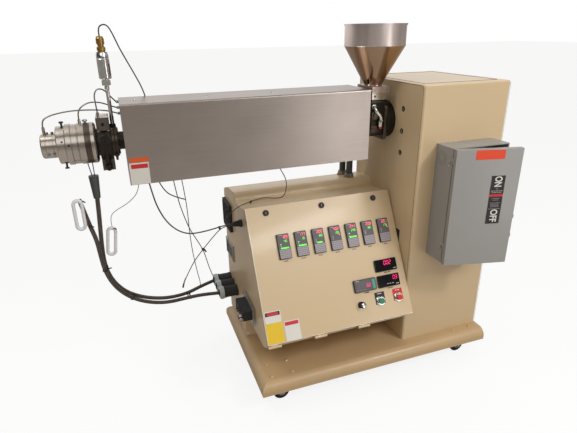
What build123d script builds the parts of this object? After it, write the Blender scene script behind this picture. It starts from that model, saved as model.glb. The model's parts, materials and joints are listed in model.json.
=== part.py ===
"""A small floor-standing extruder: a drive cabinet, a barrel with its cover and head, a hopper,
a control cabinet with a sloped door, and a switch box, all on one low base on castors.

The barrel runs along X with its die towards -X, the operator stands on the -Y side, Z is up.
The origin is on the floor, at the middle of the box that the machine fills.
"""
import os
from math import cos, pi, radians, sin, tan

from build123d import *

os.makedirs("parts", exist_ok=True)

# Base and castors
base_lead = 28.0
base_depth = 617.0
base_height = 49.0
base_round = 34.0
base_clear_height = 81.0

castor_plate_length = 104.0
castor_plate_depth = 92.0
castor_plate_thickness = 6.0
castor_inset_x = 93.0
castor_inset_y = 83.0
castor_wheel_radius = 32.0
castor_wheel_width = 26.0
castor_wheel_lift = 2.0
castor_cheek_thickness = 4.0
castor_cheek_gap = 2.0
castor_axle_radius = 5.0
axle_clearance = 0.1
wheel_setback = 15.0
foot_pad_radius = 16.0
foot_pad_height = 9.0
foot_stem_radius = 6.0
foot_to_wheel = 33.0
foot_pad_taper = 20.0
wheel_round = 4.5
wheel_hub_radius = 11.5
wheel_rim_radius = 20.0
wheel_web_width = 10.0

# Drive cabinet
drive_width = 384.0
drive_depth = 480.0
drive_above_axis = 153.0
drive_edge_round = 12.0
side_hole_radius = 7.0
side_hole_depth = 14.0
side_hole_pitch = 84.0
side_hole_drop = 98.0
side_hole_y = -120.0
side_hole_count = 3

# Barrel line, from the drive face towards the die
axis_height = 1040.0
thrust_flange_thickness = 34.5
thrust_flange_radius = 90.0
thrust_collar_thickness = 15.5
thrust_boss_radius = 84.0
feed_block_width = 68.0
feed_block_depth = 120.0
feed_block_rise = 86.0
feed_block_fall = 55.0
feed_bar_thickness = 24.0
feed_bar_hole_radius = 4.0
feed_bar_hole_depth = 20.0
feed_bar_hole_inset = 13.0
feed_plate_thickness = 24.0
feed_bore_radius = 24.0
barrel_length = 925.0
barrel_radius = 29.5
barrel_bore_radius = 9.5
adapter_thickness = 20.0
adapter_radius = 50.0
clamp_thickness = 39.0
clamp_radius = 57.0
clamp_block_depth = 93.0
clamp_block_top = 85.0
clamp_block_height = 41.0
clamp_lug_depth = 46.0
clamp_lug_reach = 92.0
die_neck_length = 6.0
die_neck_radius = 44.0
die_ring_lengths = [55.0, 19.0, 18.0, 27.0]
die_ring_radii = [66.5, 64.0, 66.0, 60.5]
nozzle_length = 47.5
nozzle_radius = 39.0
die_bore_radius = 6.0
die_edge = 3.0
probe_foot_radius = 4.5
nozzle_probe_rise = 22.0
nozzle_probe_inset = 13.5
ring_probe_rise = 11.5
ring_probe_inset = 10.5
clamp_probe_rise = 12.0
clamp_probe_inset = 8.0

# Barrel cover
cover_gap = 25.0
barrel_stub = 19.0
cover_depth = 191.0
cover_above_axis = 129.5
cover_below_axis = 132.5
cover_sheet = 4.0
cover_bend = 6.0
cover_hole_clearance = 3.0
cover_post_radius = 8.0
cover_post_start = 48.5
cover_post_pitch = 238.5
cover_post_count = 3

# Hopper
hopper_radius = 114.5
hopper_cone_height = 144.0
hopper_cylinder_height = 77.0
hopper_outlet_radius = 32.5
hopper_sheet = 3.0
hopper_bead = 3.0

# Pressure transducer on the adapter
stem_radius = 6.0
stem_height = 130.0
hex_width = 24.0
hex_height = 20.0
transducer_radius = 19.0
transducer_height = 80.0
plug_radius = 13.0
plug_height = 48.0

# Control cabinet
cabinet_sheet = 4.0
cabinet_back_margin = 3.5
front_lip = 28.5
valley_drop = 23.4
valley_slope = 5.0
crown_rise = 31.0
crown_fall = 36.0
crown_bulge = 8.0
crown_step = 10.0
cabinet_crown_y = 140.0
cabinet_step_y = 86.0
cabinet_valley_front = 6.0
cabinet_lap = 10.0
pedestal_front = 26.0

# Sloped door of the control cabinet
door_tilt = 29.0
door_thickness = 16.0
door_gap = 5.0
door_side_gap = 5.0
door_top_y = -57.7
door_top_height = 756.4
door_corner = 6.0
door_hem = 9.0
hinge_radius = 6.0
hinge_pin_radius = 2.5
hinge_pin_clearance = 0.3
hinge_drop = 8.0
hinge_setback = 6.0
hinge_middle = 24.0
hinge_outer = 12.0
hinge_side_gap = 0.5
hinge_start = 26.0
hinge_pitch = 183.0
hinge_count = 3

latch_radius = 11.0
latch_height = 4.0
latch_drop = 27.0
latch_inset = 77.0

controller_width = 48.0
controller_length = 96.0
controller_count = 7
controller_pitch = 71.6
controller_start = 100.0
controller_end = 35.4
controller_drop = 115.0
meter_gap = 68.0
meter_row_gap = 15.0
meter_side_gap = 10.0
meter_end = 34.0
bezel_height = 8.0
bezel_lap = 2.0
instrument_depth = 70.0
cutout_clearance = 0.4

control_gap = 49.0
door_end = 73.0
red_inset = 51.0
green_inset = 132.0
knob_inset = 218.0
ring_radius = 15.0
ring_height = 8.0
button_radius = 11.5
button_travel = 4.0
button_stand = 6.0
button_height = 9.0
button_stem_radius = 4.0
end_clearance = 1.0
control_clearance = 0.6
neck_radius = 10.5
contact_width = 30.0
contact_length = 40.0
contact_depth = 30.0
knob_radius = 12.0
knob_height = 18.0
knob_stand = 4.0
knob_taper = 4.0
knob_stem_radius = 3.0
knob_bush_height = 2.0

# Fittings on the left end of the control cabinet
grille_depth = 130.0
grille_height = 124.0
grille_inset = 70.0
grille_fall = 100.0
grille_thickness = 12.0
grille_round = 6.0
grille_slot_count = 7
grille_slot_height = 7.0
inlet_depth = 130.0
inlet_height = 74.0
inlet_inset = 67.0
inlet_fall = 267.0
inlet_frame = 8.0
inlet_thickness = 6.0
connector_radius = 25.0
connector_length = 62.0
connector_collar = 8.0
connector_ring = 18.0
connector_lip = 1.0
connector_pitch = 60.5
connector_inset = 148.0
connector_rise = 30.0
connector_count = 3
gland_radius = 12.0
gland_hex = 26.0
gland_hex_length = 10.0
gland_length = 34.0
gland_taper = 8.0
gland_y = 3.0
gland_fall = 57.0
jack_plate_thickness = 3.0
jack_plate_stand = 8.0
jack_plate_depth = 150.0
jack_plate_height = 80.0
jack_y = -68.0
jack_rise = 70.0
jack_block_reach = 34.0
jack_block_depth = 116.0
jack_block_height = 40.0
jack_rib_count = 8
jack_rib_width = 5.0
jack_rib_depth = 3.0

# Conduits from the control cabinet up behind the barrel cover
conduit_x = -87.0
conduit_y = [135.0, 202.0]
conduit_radius = 14.0
conduit_nut_radius = 20.0
conduit_nut_height = 16.0
conduit_above_cover_edge = [6.5, 71.5]
conduit_bend = 36.0

# Switch box on the front of the drive cabinet
box_width = 248.0
box_height = 448.0
box_depth = 95.0
box_bottom = 533.0
box_left = 78.0
box_sheet = 4.0
box_gap = 5.0
box_cover_depth = 22.0
box_cover_edge = 3.0
box_ajar = 13.6
box_hinge_radius = 2.3
box_hinge_reach = 14.0
box_leaf = 2.0
box_hinge_length = 24.0
box_hinge_heights = [59.0, 391.0]
box_tab_reach = 5.0
box_tab_height = 14.0
box_tab_heights = [104.0, 180.0]
handle_hub_radius = 16.0
handle_stand = 14.0
handle_length = 70.0
handle_width = 16.0
handle_thickness = 9.0
handle_height = 300.0
handle_lean = 20.0
box_gland_radius = 13.0
box_gland_length = 20.0
box_gland_bore = 6.0
box_gland_x = 88.0

# Grommets that the leads pass through in the barrel cover
grommet_radius = 5.0
grommet_length = 8.0
grommet_y = 72.0
grommet_start = 79.0
grommet_pitch = 19.5
grommet_count = 3
back_grommet_station = 98.0
back_grommet_length = 6.0
back_grommet_height = 50.0
clip_width = 14.0
clip_depth = 12.0
clip_height = 10.0
clip_rise = 4.0
clip_start = 27.0
clip_pitch = 31.5
clip_count = 3
middle_clip_start = 139.0
middle_clip_pitch = 27.5
middle_clip_count = 2
far_clip_start = 520.0

# Plug and links that hang on the heater cables
heater_plug_top_radius = 16.5
heater_plug_end_radius = 11.5
heater_plug_length = 79.0
heater_tail_radius = 1.6
heater_tail_starts = [-21.0, 4.0]
heater_tail_spread = 4.0
link_width = 37.0
link_length = 113.0
link_wall = 11.0
link_thickness = 14.0
upper_link_middle = (-748.0, 805.0)
lower_link_drop = 56.0
lower_link_shift = -9.0
lower_link_lean = -8.0

# Routes of the cords, in the part's own frame. The leads of the head leave out their two ends,
# which are worked out where the probe feet and the grommets are made.
cord_bend_share = 0.45
transducer_lead_size = 4.4
transducer_lead_route = [
    (-601, 55.5, 1389), (-589, 57, 1401), (-572, 62, 1399), (-559, 71, 1371),
    (-547, 85.5, 1334.5), (-529, 103.5, 1293.5), (-507, 127.5, 1245), (-484, 155.5, 1190),
    (-473, 177, 1134), (-473, 186, 1100)]
probe_lead_size = 4.4
probe_lead_front_route = [
    (-808, 55.5, 1122), (-786, 60, 1134), (-755, 67, 1140.5), (-722, 75, 1143.5),
    (-686, 83, 1143), (-646, 92, 1140), (-604, 107, 1132)]
probe_lead_middle_route = [
    (-700, 55.5, 1138), (-688, 59, 1157), (-662, 66, 1169), (-632, 78, 1166),
    (-606, 95, 1154), (-588, 115, 1143)]
probe_lead_rear_route = [
    (-642, 55.5, 1164), (-643, 57, 1192), (-632, 61, 1210), (-613, 70, 1207),
    (-600, 86, 1189), (-589, 106, 1173)]
heater_cable_size = 15.0
heater_cable_upper_route = [
    (-685, 55.25, 849), (-689.5, 60.5, 773.5), (-698, 70.5, 670.5), (-701, 83.5, 584),
    (-689, 103.5, 510), (-661, 127.5, 447), (-622.5, 153.5, 396), (-561, 183.5, 348.5),
    (-483, 215.5, 313), (-397.5, 247.5, 300), (-327, 291, 300), (-260.5, 333.25, 292)]
heater_cable_lower_route = [
    (-741.5, 39, 855), (-733, 39.5, 810), (-723, 41.5, 756), (-709.5, 45.5, 695),
    (-706.5, 53.5, 627.5), (-702.5, 67.5, 565), (-687, 87.5, 498.5), (-659, 111.5, 438),
    (-619.5, 137.5, 385), (-561, 167.5, 336.5), (-488, 197.5, 302), (-402, 223.5, 292),
    (-330.5, 221, 295), (-260.5, 212.25, 292)]
gland_wire_size = 5.0
gland_wire_route = [
    (-512.5, -30.25, 911.5), (-506, -24.5, 869.5), (-495, -14.5, 813.5), (-470.5, -2.5, 751),
    (-435, 9.5, 704.5), (-392, 21.5, 678), (-345.5, 33.5, 673), (-297.5, 45.5, 673.5),
    (-252, 55.5, 677.5), (-214.5, 58.25, 678.5)]
short_wire_size = 4.0
short_wire_route = [
    (-481, -30.25, 911.5), (-470, -29, 880.5), (-443, -34, 851), (-399, -36.5, 835)]
thin_wire_size = 3.4
probe_wire_route = [
    (-432, -30.25, 911.5), (-425.5, -12.5, 862.5), (-416, 3.5, 804), (-402, 21.5, 748),
    (-386.5, 39.5, 694), (-368, 57.5, 649.5), (-347, 79.5, 602.5), (-330.5, 105.5, 556.5),
    (-318, 137.5, 507.5), (-306, 173.5, 456.5), (-293.5, 211.5, 412.5), (-281, 251.5, 370.5),
    (-270.5, 287.5, 337.5), (-260.5, 319.25, 307)]
loose_wire_route = [
    (-214.5, 54.75, 672), (-242, 47.5, 677.5), (-270.5, 44.5, 670), (-304, 46.5, 636),
    (-340, 46.5, 597), (-378, 48.5, 552), (-404, 51.5, 505.5), (-423, 53.5, 468.5),
    (-431, 55.5, 442)]
cable_wire_route = [
    (-404.5, -30.25, 911.5), (-398, -18, 855), (-392, 5.5, 800), (-388, 27.5, 743),
    (-385.5, 51.5, 683), (-381, 75.5, 624), (-374.5, 103.5, 562), (-366, 133, 505),
    (-357, 168, 448), (-347, 210, 394), (-337, 251, 346), (-334, 276, 310)]
cabinet_wire_route = [
    (-214.5, 62.25, 673), (-229.5, 65.5, 674.5), (-244.5, 71.5, 690.5), (-222.5, 69.5, 719),
    (-186, 65.5, 744.5), (-151.5, 89.5, 743.5), (-122, 107.5, 743.5), (-87.5, 124.5, 743.5),
    (-57.5, 125.5, 743.5), (-25, 101.5, 743.5), (2.5, 77.5, 752.5), (6, 49.5, 803),
    (-6.5, 21.5, 845), (-29, -5.5, 881), (-51, -30.25, 911.5)]
tag_wire_size = 2.6
tag_wire_route = [
    (-544, -30.25, 911.5), (-550, -13, 876.5), (-570, 7.5, 846), (-597.5, 27.5, 820),
    (-625, 45.5, 801.5), (-647.5, 59.5, 782), (-655, 64.5, 757.5), (-653.5, 65.25, 732.5)]

# Places worked out from the sizes above
die_length = die_neck_length + sum(die_ring_lengths) + nozzle_length
head_reach = (thrust_flange_thickness + feed_block_width + barrel_length + adapter_thickness
              + clamp_thickness + die_length)
drive_x = (head_reach - drive_width) / 2
box_pivot_y = -drive_depth / 2 - box_depth - box_gap / 2
box_corner = box_cover_depth + box_gap / 2
front_reach = (-box_pivot_y + (box_width - box_cover_edge) * sin(radians(box_ajar))
               + (box_corner - box_cover_edge) * cos(radians(box_ajar)) + box_cover_edge)
axis_y = (front_reach - base_depth / 2) / 2

controller_row = (controller_count - 1) * controller_pitch + controller_width
door_width = controller_start + controller_row + controller_end
cabinet_width = door_width + door_side_gap
base_length = drive_width + cabinet_width + base_lead
base_top = base_clear_height + base_height
base_left = drive_x + drive_width - base_length
base_right = drive_x + drive_width
drive_top = axis_height + drive_above_axis

flange_x = drive_x - thrust_flange_thickness
feed_x = flange_x - feed_block_width
throat_x = feed_x + feed_block_width / 2
barrel_x = feed_x - barrel_length
adapter_x = barrel_x - adapter_thickness
clamp_x = adapter_x - clamp_thickness
nozzle_tip_x = clamp_x - die_length
cover_length = barrel_length - cover_gap - barrel_stub
cover_right = feed_x - cover_gap
cover_left = cover_right - cover_length
cover_bottom = axis_height - cover_below_axis
feed_bar_z = axis_height + feed_block_rise
feed_plate_z = feed_bar_z + feed_bar_thickness
outlet_z = feed_plate_z + feed_plate_thickness
cone_top_z = outlet_z + hopper_cone_height
rim_z = cone_top_z + hopper_cylinder_height

meter_upper_drop = controller_drop + controller_length + meter_gap
meter_lower_drop = meter_upper_drop + controller_width + meter_row_gap
control_drop = meter_lower_drop + controller_width + control_gap
door_length = control_drop + door_end
meter_right = door_width - meter_end - controller_length
meter_left = meter_right - meter_side_gap - controller_length
meter_places = [
    (meter_right, meter_upper_drop), (meter_right, meter_lower_drop), (meter_left, meter_lower_drop)]
controller_places = [
    (controller_start + number * controller_pitch, controller_drop)
    for number in range(controller_count)
]
red_station = door_width - red_inset
green_station = door_width - green_inset
knob_station = door_width - knob_inset
latch_stations = [latch_inset, door_width / 2, door_width - latch_inset]
hinge_stations = [hinge_start + number * hinge_pitch for number in range(hinge_count)]

cabinet_left = drive_x - cabinet_width
cabinet_back = base_depth / 2 - cabinet_back_margin
valley_z = door_top_height - valley_drop
crown_z = valley_z + crown_rise
rear_top_z = crown_z - crown_fall
box_x = drive_x + box_left

along_barrel = Plane(origin=(0, axis_y, axis_height), x_dir=(0, 1, 0), z_dir=(1, 0, 0))
profile_plane = Plane(origin=(0, axis_y, 0), x_dir=(0, 1, 0), z_dir=(1, 0, 0))
door_plane = Plane(
    origin=(cabinet_left, axis_y + door_top_y, door_top_height),
    x_dir=(1, 0, 0),
    z_dir=(0, -cos(radians(door_tilt)), sin(radians(door_tilt))),
)


def keep(builder, name):
    """Labels a finished piece and writes it to its own file."""
    builder.part.label = name
    export_step(builder.part, f"parts/{name}.step")


def slope_point(drop, height):
    """Y and Z, seen from the barrel axis, of a point at a distance down the door's slope."""
    tilt = radians(door_tilt)
    y = door_top_y - drop * sin(tilt) - height * cos(tilt)
    z = door_top_height - drop * cos(tilt) + height * sin(tilt)
    return (y, z)


def left_end_plane(y, z, stand=0.0):
    """A plane that looks out of the control cabinet's left end."""
    return Plane(origin=(cabinet_left - stand, axis_y + y, z), x_dir=(0, -1, 0), z_dir=(-1, 0, 0))


# Base
with BuildPart() as base_frame:
    base_middle = ((base_left + base_right) / 2, axis_y, base_clear_height)
    with BuildSketch(Plane(origin=base_middle)):
        Rectangle(base_length, base_depth)
    extrude(amount=base_height)
    top_edges = base_frame.edges().group_by(Axis.Z)[-1]
    fillet(top_edges.sort_by(Axis.X)[:-1], radius=base_round)
keep(base_frame, "base_frame")


# Castors, each with a levelling foot beside its wheel
def castor_bracket(x, y, side):
    """Top plate, two cheeks, axle and levelling foot. side is -1 at the front, 1 at the back."""
    wheel_y = y + side * wheel_setback
    foot_y = wheel_y - side * foot_to_wheel
    cheek_place = castor_wheel_width / 2 + castor_cheek_gap + castor_cheek_thickness / 2
    axle_z = castor_wheel_lift + castor_wheel_radius
    plate_z = base_clear_height - castor_plate_thickness
    cheek_base = axle_z - 2 * castor_axle_radius
    with BuildPart() as bracket:
        with BuildSketch(Plane(origin=(x, y, plate_z))):
            RectangleRounded(castor_plate_length, castor_plate_depth, castor_plate_thickness)
        extrude(amount=castor_plate_thickness)
        for place in (-cheek_place, cheek_place):
            cheek = Plane(origin=(x, wheel_y + place, 0), x_dir=(1, 0, 0), z_dir=(0, -1, 0))
            with BuildSketch(cheek):
                with BuildLine():
                    Polyline(
                        (-castor_wheel_radius, plate_z),
                        (-2 * castor_axle_radius, cheek_base),
                        (2 * castor_axle_radius, cheek_base),
                        (castor_wheel_radius, plate_z),
                        close=True,
                    )
                make_face()
            extrude(amount=castor_cheek_thickness / 2, both=True)
        axle_end = cheek_place + castor_cheek_thickness / 2 + castor_cheek_gap
        with BuildSketch(Plane(origin=(x, wheel_y, axle_z), x_dir=(1, 0, 0), z_dir=(0, -1, 0))):
            Circle(castor_axle_radius)
        extrude(amount=axle_end, both=True)
        with BuildSketch(Plane(origin=(x, foot_y, foot_pad_height))):
            Circle(foot_stem_radius)
        extrude(amount=plate_z - foot_pad_height)
        with BuildSketch(Plane(origin=(x, foot_y, 0))):
            Circle(foot_pad_radius)
        extrude(amount=foot_pad_height, taper=foot_pad_taper)
    return bracket


def castor_wheel(x, y, side):
    """A tread with a raised hub, bored for its axle."""
    wheel_y = y + side * wheel_setback
    axle_z = castor_wheel_lift + castor_wheel_radius
    wheel_plane = Plane(origin=(x, wheel_y, axle_z), x_dir=(1, 0, 0), z_dir=(0, -1, 0))
    with BuildPart() as wheel:
        with BuildSketch(wheel_plane):
            Circle(castor_wheel_radius)
        extrude(amount=castor_wheel_width / 2, both=True)
        fillet(wheel.edges().filter_by(GeomType.CIRCLE), radius=wheel_round)
        with BuildSketch(wheel_plane):
            Circle(wheel_rim_radius)
            Circle(wheel_hub_radius, mode=Mode.SUBTRACT)
        extrude(amount=castor_wheel_width, both=True, mode=Mode.SUBTRACT)
        with BuildSketch(wheel_plane):
            Circle(wheel_rim_radius)
        extrude(amount=wheel_web_width / 2, both=True)
        with BuildSketch(wheel_plane):
            Circle(castor_axle_radius + axle_clearance)
        extrude(amount=castor_wheel_width, both=True, mode=Mode.SUBTRACT)
    return wheel


castor_x = {"left": base_left + castor_inset_x, "right": base_right - castor_inset_x}
castor_y = {
    "front": axis_y - base_depth / 2 + castor_inset_y,
    "back": axis_y + base_depth / 2 - castor_inset_y,
}
castor_spots = {
    f"{row}_{column}": (castor_x[column], castor_y[row], side)
    for row, side in (("front", -1), ("back", 1))
    for column in ("left", "right")
}
with BuildPart() as castor_brackets:
    for spot in castor_spots.values():
        add(castor_bracket(*spot).part)
keep(castor_brackets, "castor_brackets")
for corner, spot in castor_spots.items():
    keep(castor_wheel(*spot), f"castor_wheel_{corner}")

# Drive cabinet, a closed housing
with BuildPart() as drive_cabinet:
    with BuildSketch(Plane(origin=(drive_x + drive_width / 2, axis_y, base_top))):
        Rectangle(drive_width, drive_depth)
    extrude(amount=drive_top - base_top)
    upright_edges = drive_cabinet.edges().filter_by(Axis.Z)
    fillet(upright_edges.group_by(Axis.Y)[0] + upright_edges.group_by(Axis.Y)[-1],
           radius=drive_edge_round)
    fillet(drive_cabinet.faces().sort_by(Axis.Z)[-1].edges(), radius=drive_edge_round / 2)
    for number in range(side_hole_count):
        hole_z = drive_top - side_hole_drop - number * side_hole_pitch
        hole_plane = Plane(
            origin=(drive_x, axis_y + side_hole_y, hole_z), x_dir=(0, -1, 0), z_dir=(-1, 0, 0))
        with BuildSketch(hole_plane):
            Circle(side_hole_radius)
        extrude(amount=-side_hole_depth, mode=Mode.SUBTRACT)
keep(drive_cabinet, "drive_cabinet")

# Barrel line
with BuildPart() as thrust_flange:
    with BuildSketch(along_barrel.offset(flange_x)):
        Circle(thrust_flange_radius)
    extrude(amount=thrust_collar_thickness)
    with BuildSketch(along_barrel.offset(flange_x + thrust_collar_thickness)):
        Circle(thrust_boss_radius)
    extrude(amount=thrust_flange_thickness - thrust_collar_thickness)
    chamfer(thrust_flange.edges().sort_by(Axis.X)[:1], length=die_edge)
keep(thrust_flange, "thrust_flange")

with BuildPart() as feed_block:
    with BuildSketch(Plane(origin=(throat_x, axis_y, axis_height - feed_block_fall))):
        Rectangle(feed_block_width, feed_block_depth)
    extrude(amount=feed_block_fall + feed_block_rise)
    fillet(feed_block.edges().filter_by(Axis.X), radius=drive_edge_round)
    with BuildSketch(Plane(origin=(throat_x, axis_y, axis_height))):
        Circle(feed_bore_radius)
    extrude(amount=feed_block_rise, mode=Mode.SUBTRACT)
keep(feed_block, "feed_block")

with BuildPart() as feed_bar:
    with BuildSketch(Plane(origin=(throat_x, axis_y, feed_bar_z))):
        Rectangle(feed_block_width, feed_block_depth)
        Circle(feed_bore_radius, mode=Mode.SUBTRACT)
    extrude(amount=feed_bar_thickness)
    bar_front = Plane(
        origin=(feed_x, axis_y - feed_block_depth / 2, feed_bar_z + feed_bar_thickness / 2),
        x_dir=(1, 0, 0), z_dir=(0, -1, 0))
    with BuildSketch(bar_front):
        with Locations((feed_bar_hole_inset, 0)):
            Circle(feed_bar_hole_radius)
    extrude(amount=-feed_bar_hole_depth, mode=Mode.SUBTRACT)
keep(feed_bar, "feed_bar")

with BuildPart() as feed_plate:
    with BuildSketch(Plane(origin=(throat_x, axis_y, feed_plate_z))):
        Rectangle(feed_block_width, feed_block_depth)
        Circle(feed_bore_radius, mode=Mode.SUBTRACT)
    extrude(amount=feed_plate_thickness)
keep(feed_plate, "feed_plate")

with BuildPart() as barrel:
    with BuildSketch(along_barrel.offset(barrel_x)):
        Circle(barrel_radius)
        Circle(barrel_bore_radius, mode=Mode.SUBTRACT)
    extrude(amount=barrel_length)
keep(barrel, "barrel")

with BuildPart() as barrel_cover:
    cover_height = cover_above_axis + cover_below_axis
    cover_middle_z = (cover_above_axis - cover_below_axis) / 2
    with BuildSketch(along_barrel.offset(cover_left)):
        with Locations((0, cover_middle_z)):
            Rectangle(cover_depth, cover_height)
    extrude(amount=cover_length)
    top_bends = barrel_cover.edges().filter_by(Axis.X).group_by(Axis.Z)[-1]
    fillet(top_bends, radius=cover_bend)
    with BuildSketch(along_barrel.offset(cover_left + cover_sheet)):
        with Locations((0, cover_middle_z - cover_sheet)):
            Rectangle(cover_depth - 2 * cover_sheet, cover_height)
    extrude(amount=cover_length, mode=Mode.SUBTRACT)
    with BuildSketch(along_barrel.offset(cover_left)):
        Circle(barrel_radius + cover_hole_clearance)
    extrude(amount=cover_sheet, mode=Mode.SUBTRACT)
keep(barrel_cover, "barrel_cover")

with BuildPart() as cover_posts:
    post_top = cover_above_axis - cover_sheet
    for number in range(cover_post_count):
        station = cover_left + cover_post_start + number * cover_post_pitch
        post_plane = Plane(origin=(station, axis_y, axis_height))
        with BuildSketch(post_plane):
            Circle(cover_post_radius)
        extrude(amount=post_top)
    with BuildSketch(along_barrel.offset(cover_left)):
        Circle(barrel_radius)
    extrude(amount=cover_length, mode=Mode.SUBTRACT)
keep(cover_posts, "cover_posts")

with BuildPart() as adapter_flange:
    with BuildSketch(along_barrel.offset(adapter_x)):
        Circle(adapter_radius)
        Circle(barrel_bore_radius, mode=Mode.SUBTRACT)
    extrude(amount=adapter_thickness)
keep(adapter_flange, "adapter_flange")

with BuildPart() as head_clamp:
    with BuildSketch(along_barrel.offset(clamp_x)):
        Circle(clamp_radius)
        with Locations((0, clamp_block_top - clamp_block_height / 2)):
            Rectangle(clamp_block_depth, clamp_block_height)
        with Locations((0, -clamp_lug_reach / 2)):
            Rectangle(clamp_lug_depth, clamp_lug_reach)
        Circle(barrel_bore_radius, mode=Mode.SUBTRACT)
    extrude(amount=clamp_thickness)
keep(head_clamp, "head_clamp")

with BuildPart() as die_body:
    ring_x = clamp_x - die_neck_length
    with BuildSketch(along_barrel.offset(ring_x)):
        Circle(die_neck_radius)
    extrude(amount=die_neck_length)
    for ring_length, ring_size in zip(die_ring_lengths, die_ring_radii):
        ring_x -= ring_length
        with BuildSketch(along_barrel.offset(ring_x)):
            Circle(ring_size)
        extrude(amount=ring_length)
    with BuildSketch(along_barrel.offset(ring_x)):
        Circle(die_bore_radius)
    extrude(amount=die_length, mode=Mode.SUBTRACT)
keep(die_body, "die_body")

with BuildPart() as nozzle:
    with BuildSketch(along_barrel.offset(nozzle_tip_x)):
        Circle(nozzle_radius)
    extrude(amount=nozzle_length)
    chamfer(nozzle.edges().sort_by(Axis.X)[:1], length=die_edge)
    with BuildSketch(along_barrel.offset(nozzle_tip_x)):
        Circle(die_bore_radius)
    extrude(amount=nozzle_length, mode=Mode.SUBTRACT)
keep(nozzle, "nozzle")

with BuildPart() as probe_feet:
    ring_start = clamp_x - die_neck_length - die_ring_lengths[0]
    feet = (
        (nozzle_tip_x + nozzle_probe_inset, nozzle_radius, nozzle_probe_rise),
        (ring_start + ring_probe_inset, die_ring_radii[0], ring_probe_rise),
        (clamp_x + clamp_probe_inset, clamp_block_top, clamp_probe_rise),
    )
    foot_tops = [(foot_x, axis_y, axis_height + seat + rise) for foot_x, seat, rise in feet]
    for foot_top, (foot_x, seat, rise) in zip(foot_tops, feet):
        with BuildSketch(Plane(origin=foot_top)):
            Circle(probe_foot_radius)
        extrude(amount=-rise - probe_foot_radius)
    for seat, spot_x, spot_length in (
            (nozzle_radius, nozzle_tip_x, nozzle_length),
            (die_ring_radii[0], ring_start, die_ring_lengths[0])):
        with BuildSketch(along_barrel.offset(spot_x)):
            Circle(seat)
        extrude(amount=spot_length, mode=Mode.SUBTRACT)
    with BuildSketch(along_barrel.offset(clamp_x)):
        with Locations((0, clamp_block_top - clamp_block_height / 2)):
            Rectangle(clamp_block_depth, clamp_block_height)
    extrude(amount=clamp_thickness, mode=Mode.SUBTRACT)
keep(probe_feet, "probe_feet")

# Pressure transducer standing on the adapter
with BuildPart() as transducer:
    transducer_x = adapter_x + adapter_thickness / 2
    stem_plane = Plane(origin=(transducer_x, axis_y, axis_height))
    with BuildSketch(stem_plane.offset(adapter_radius)):
        Circle(stem_radius)
    extrude(amount=stem_height)
    hex_base = adapter_radius + stem_height
    with BuildSketch(stem_plane.offset(hex_base)):
        RegularPolygon(hex_width / 2, 6, major_radius=False)
    extrude(amount=hex_height)
    with BuildSketch(stem_plane.offset(hex_base + hex_height)):
        Circle(transducer_radius)
    extrude(amount=transducer_height)
    with BuildSketch(stem_plane.offset(hex_base + hex_height + transducer_height)):
        Circle(plug_radius)
    extrude(amount=plug_height)
    transducer_top = axis_height + hex_base + hex_height + transducer_height + plug_height
    with BuildSketch(along_barrel.offset(adapter_x)):
        Circle(adapter_radius)
    extrude(amount=adapter_thickness, mode=Mode.SUBTRACT)
keep(transducer, "pressure_transducer")

# Hopper, an open shell of revolution
with BuildPart() as hopper:
    hopper_plane = Plane(origin=(throat_x, axis_y, 0), x_dir=(1, 0, 0), z_dir=(0, -1, 0))
    with BuildSketch(hopper_plane):
        with BuildLine():
            Polyline(
                (hopper_outlet_radius - hopper_sheet, outlet_z),
                (hopper_outlet_radius, outlet_z),
                (hopper_radius, cone_top_z),
                (hopper_radius, rim_z - 2 * hopper_bead),
                (hopper_radius + hopper_bead, rim_z - 2 * hopper_bead),
                (hopper_radius + hopper_bead, rim_z),
                (hopper_radius - hopper_sheet, rim_z),
                (hopper_radius - hopper_sheet, cone_top_z),
                close=True,
            )
        make_face()
    revolve(axis=Axis((throat_x, axis_y, 0), (0, 0, 1)))
keep(hopper, "hopper")

# Control cabinet of folded sheet
front_top = slope_point(0, -door_thickness - door_gap)
front_bottom = slope_point(door_length + door_hem, -door_thickness - door_gap)
cabinet_floor_z = front_bottom[1] - front_lip
lip_run = front_lip / tan(radians(door_tilt))
floor_front = (front_bottom[0] + lip_run, cabinet_floor_z)
valley_front = (cabinet_valley_front, valley_z + valley_slope)
valley_back = (cabinet_step_y, valley_z)
crown = (cabinet_crown_y, crown_z)
rear_top = (cabinet_back, rear_top_z)
rear_lap = (cabinet_back, rear_top_z - cabinet_lap)


def cabinet_top_line():
    """The folded top of the cabinet, from the door's top edge to the back."""
    Polyline(front_top, valley_front, valley_back)
    step_bend = (cabinet_step_y + crown_step, crown_z - crown_bulge)
    ThreePointArc(valley_back, step_bend, crown)
    crown_bend = ((cabinet_crown_y + cabinet_back) / 2, crown_z - crown_bulge)
    ThreePointArc(crown, crown_bend, rear_top)


def cabinet_profile(x, thickness):
    """The cabinet's side view as a slab that stands from x towards +X."""
    with BuildPart() as end:
        with BuildSketch(profile_plane.offset(x)):
            with BuildLine():
                cabinet_top_line()
                Polyline(rear_top, (cabinet_back, cabinet_floor_z), floor_front,
                         front_bottom, front_top)
            make_face()
        extrude(amount=thickness)
    return end


with BuildPart() as cabinet_ends:
    add(cabinet_profile(cabinet_left, cabinet_sheet).part)
    add(cabinet_profile(drive_x - cabinet_sheet, cabinet_sheet).part)
    with BuildSketch(left_end_plane(cabinet_back - inlet_inset, rear_top_z - inlet_fall)):
        Rectangle(inlet_depth - 2 * inlet_frame, inlet_height - 2 * inlet_frame)
    extrude(amount=-cabinet_sheet, mode=Mode.SUBTRACT)
keep(cabinet_ends, "cabinet_ends")

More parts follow.
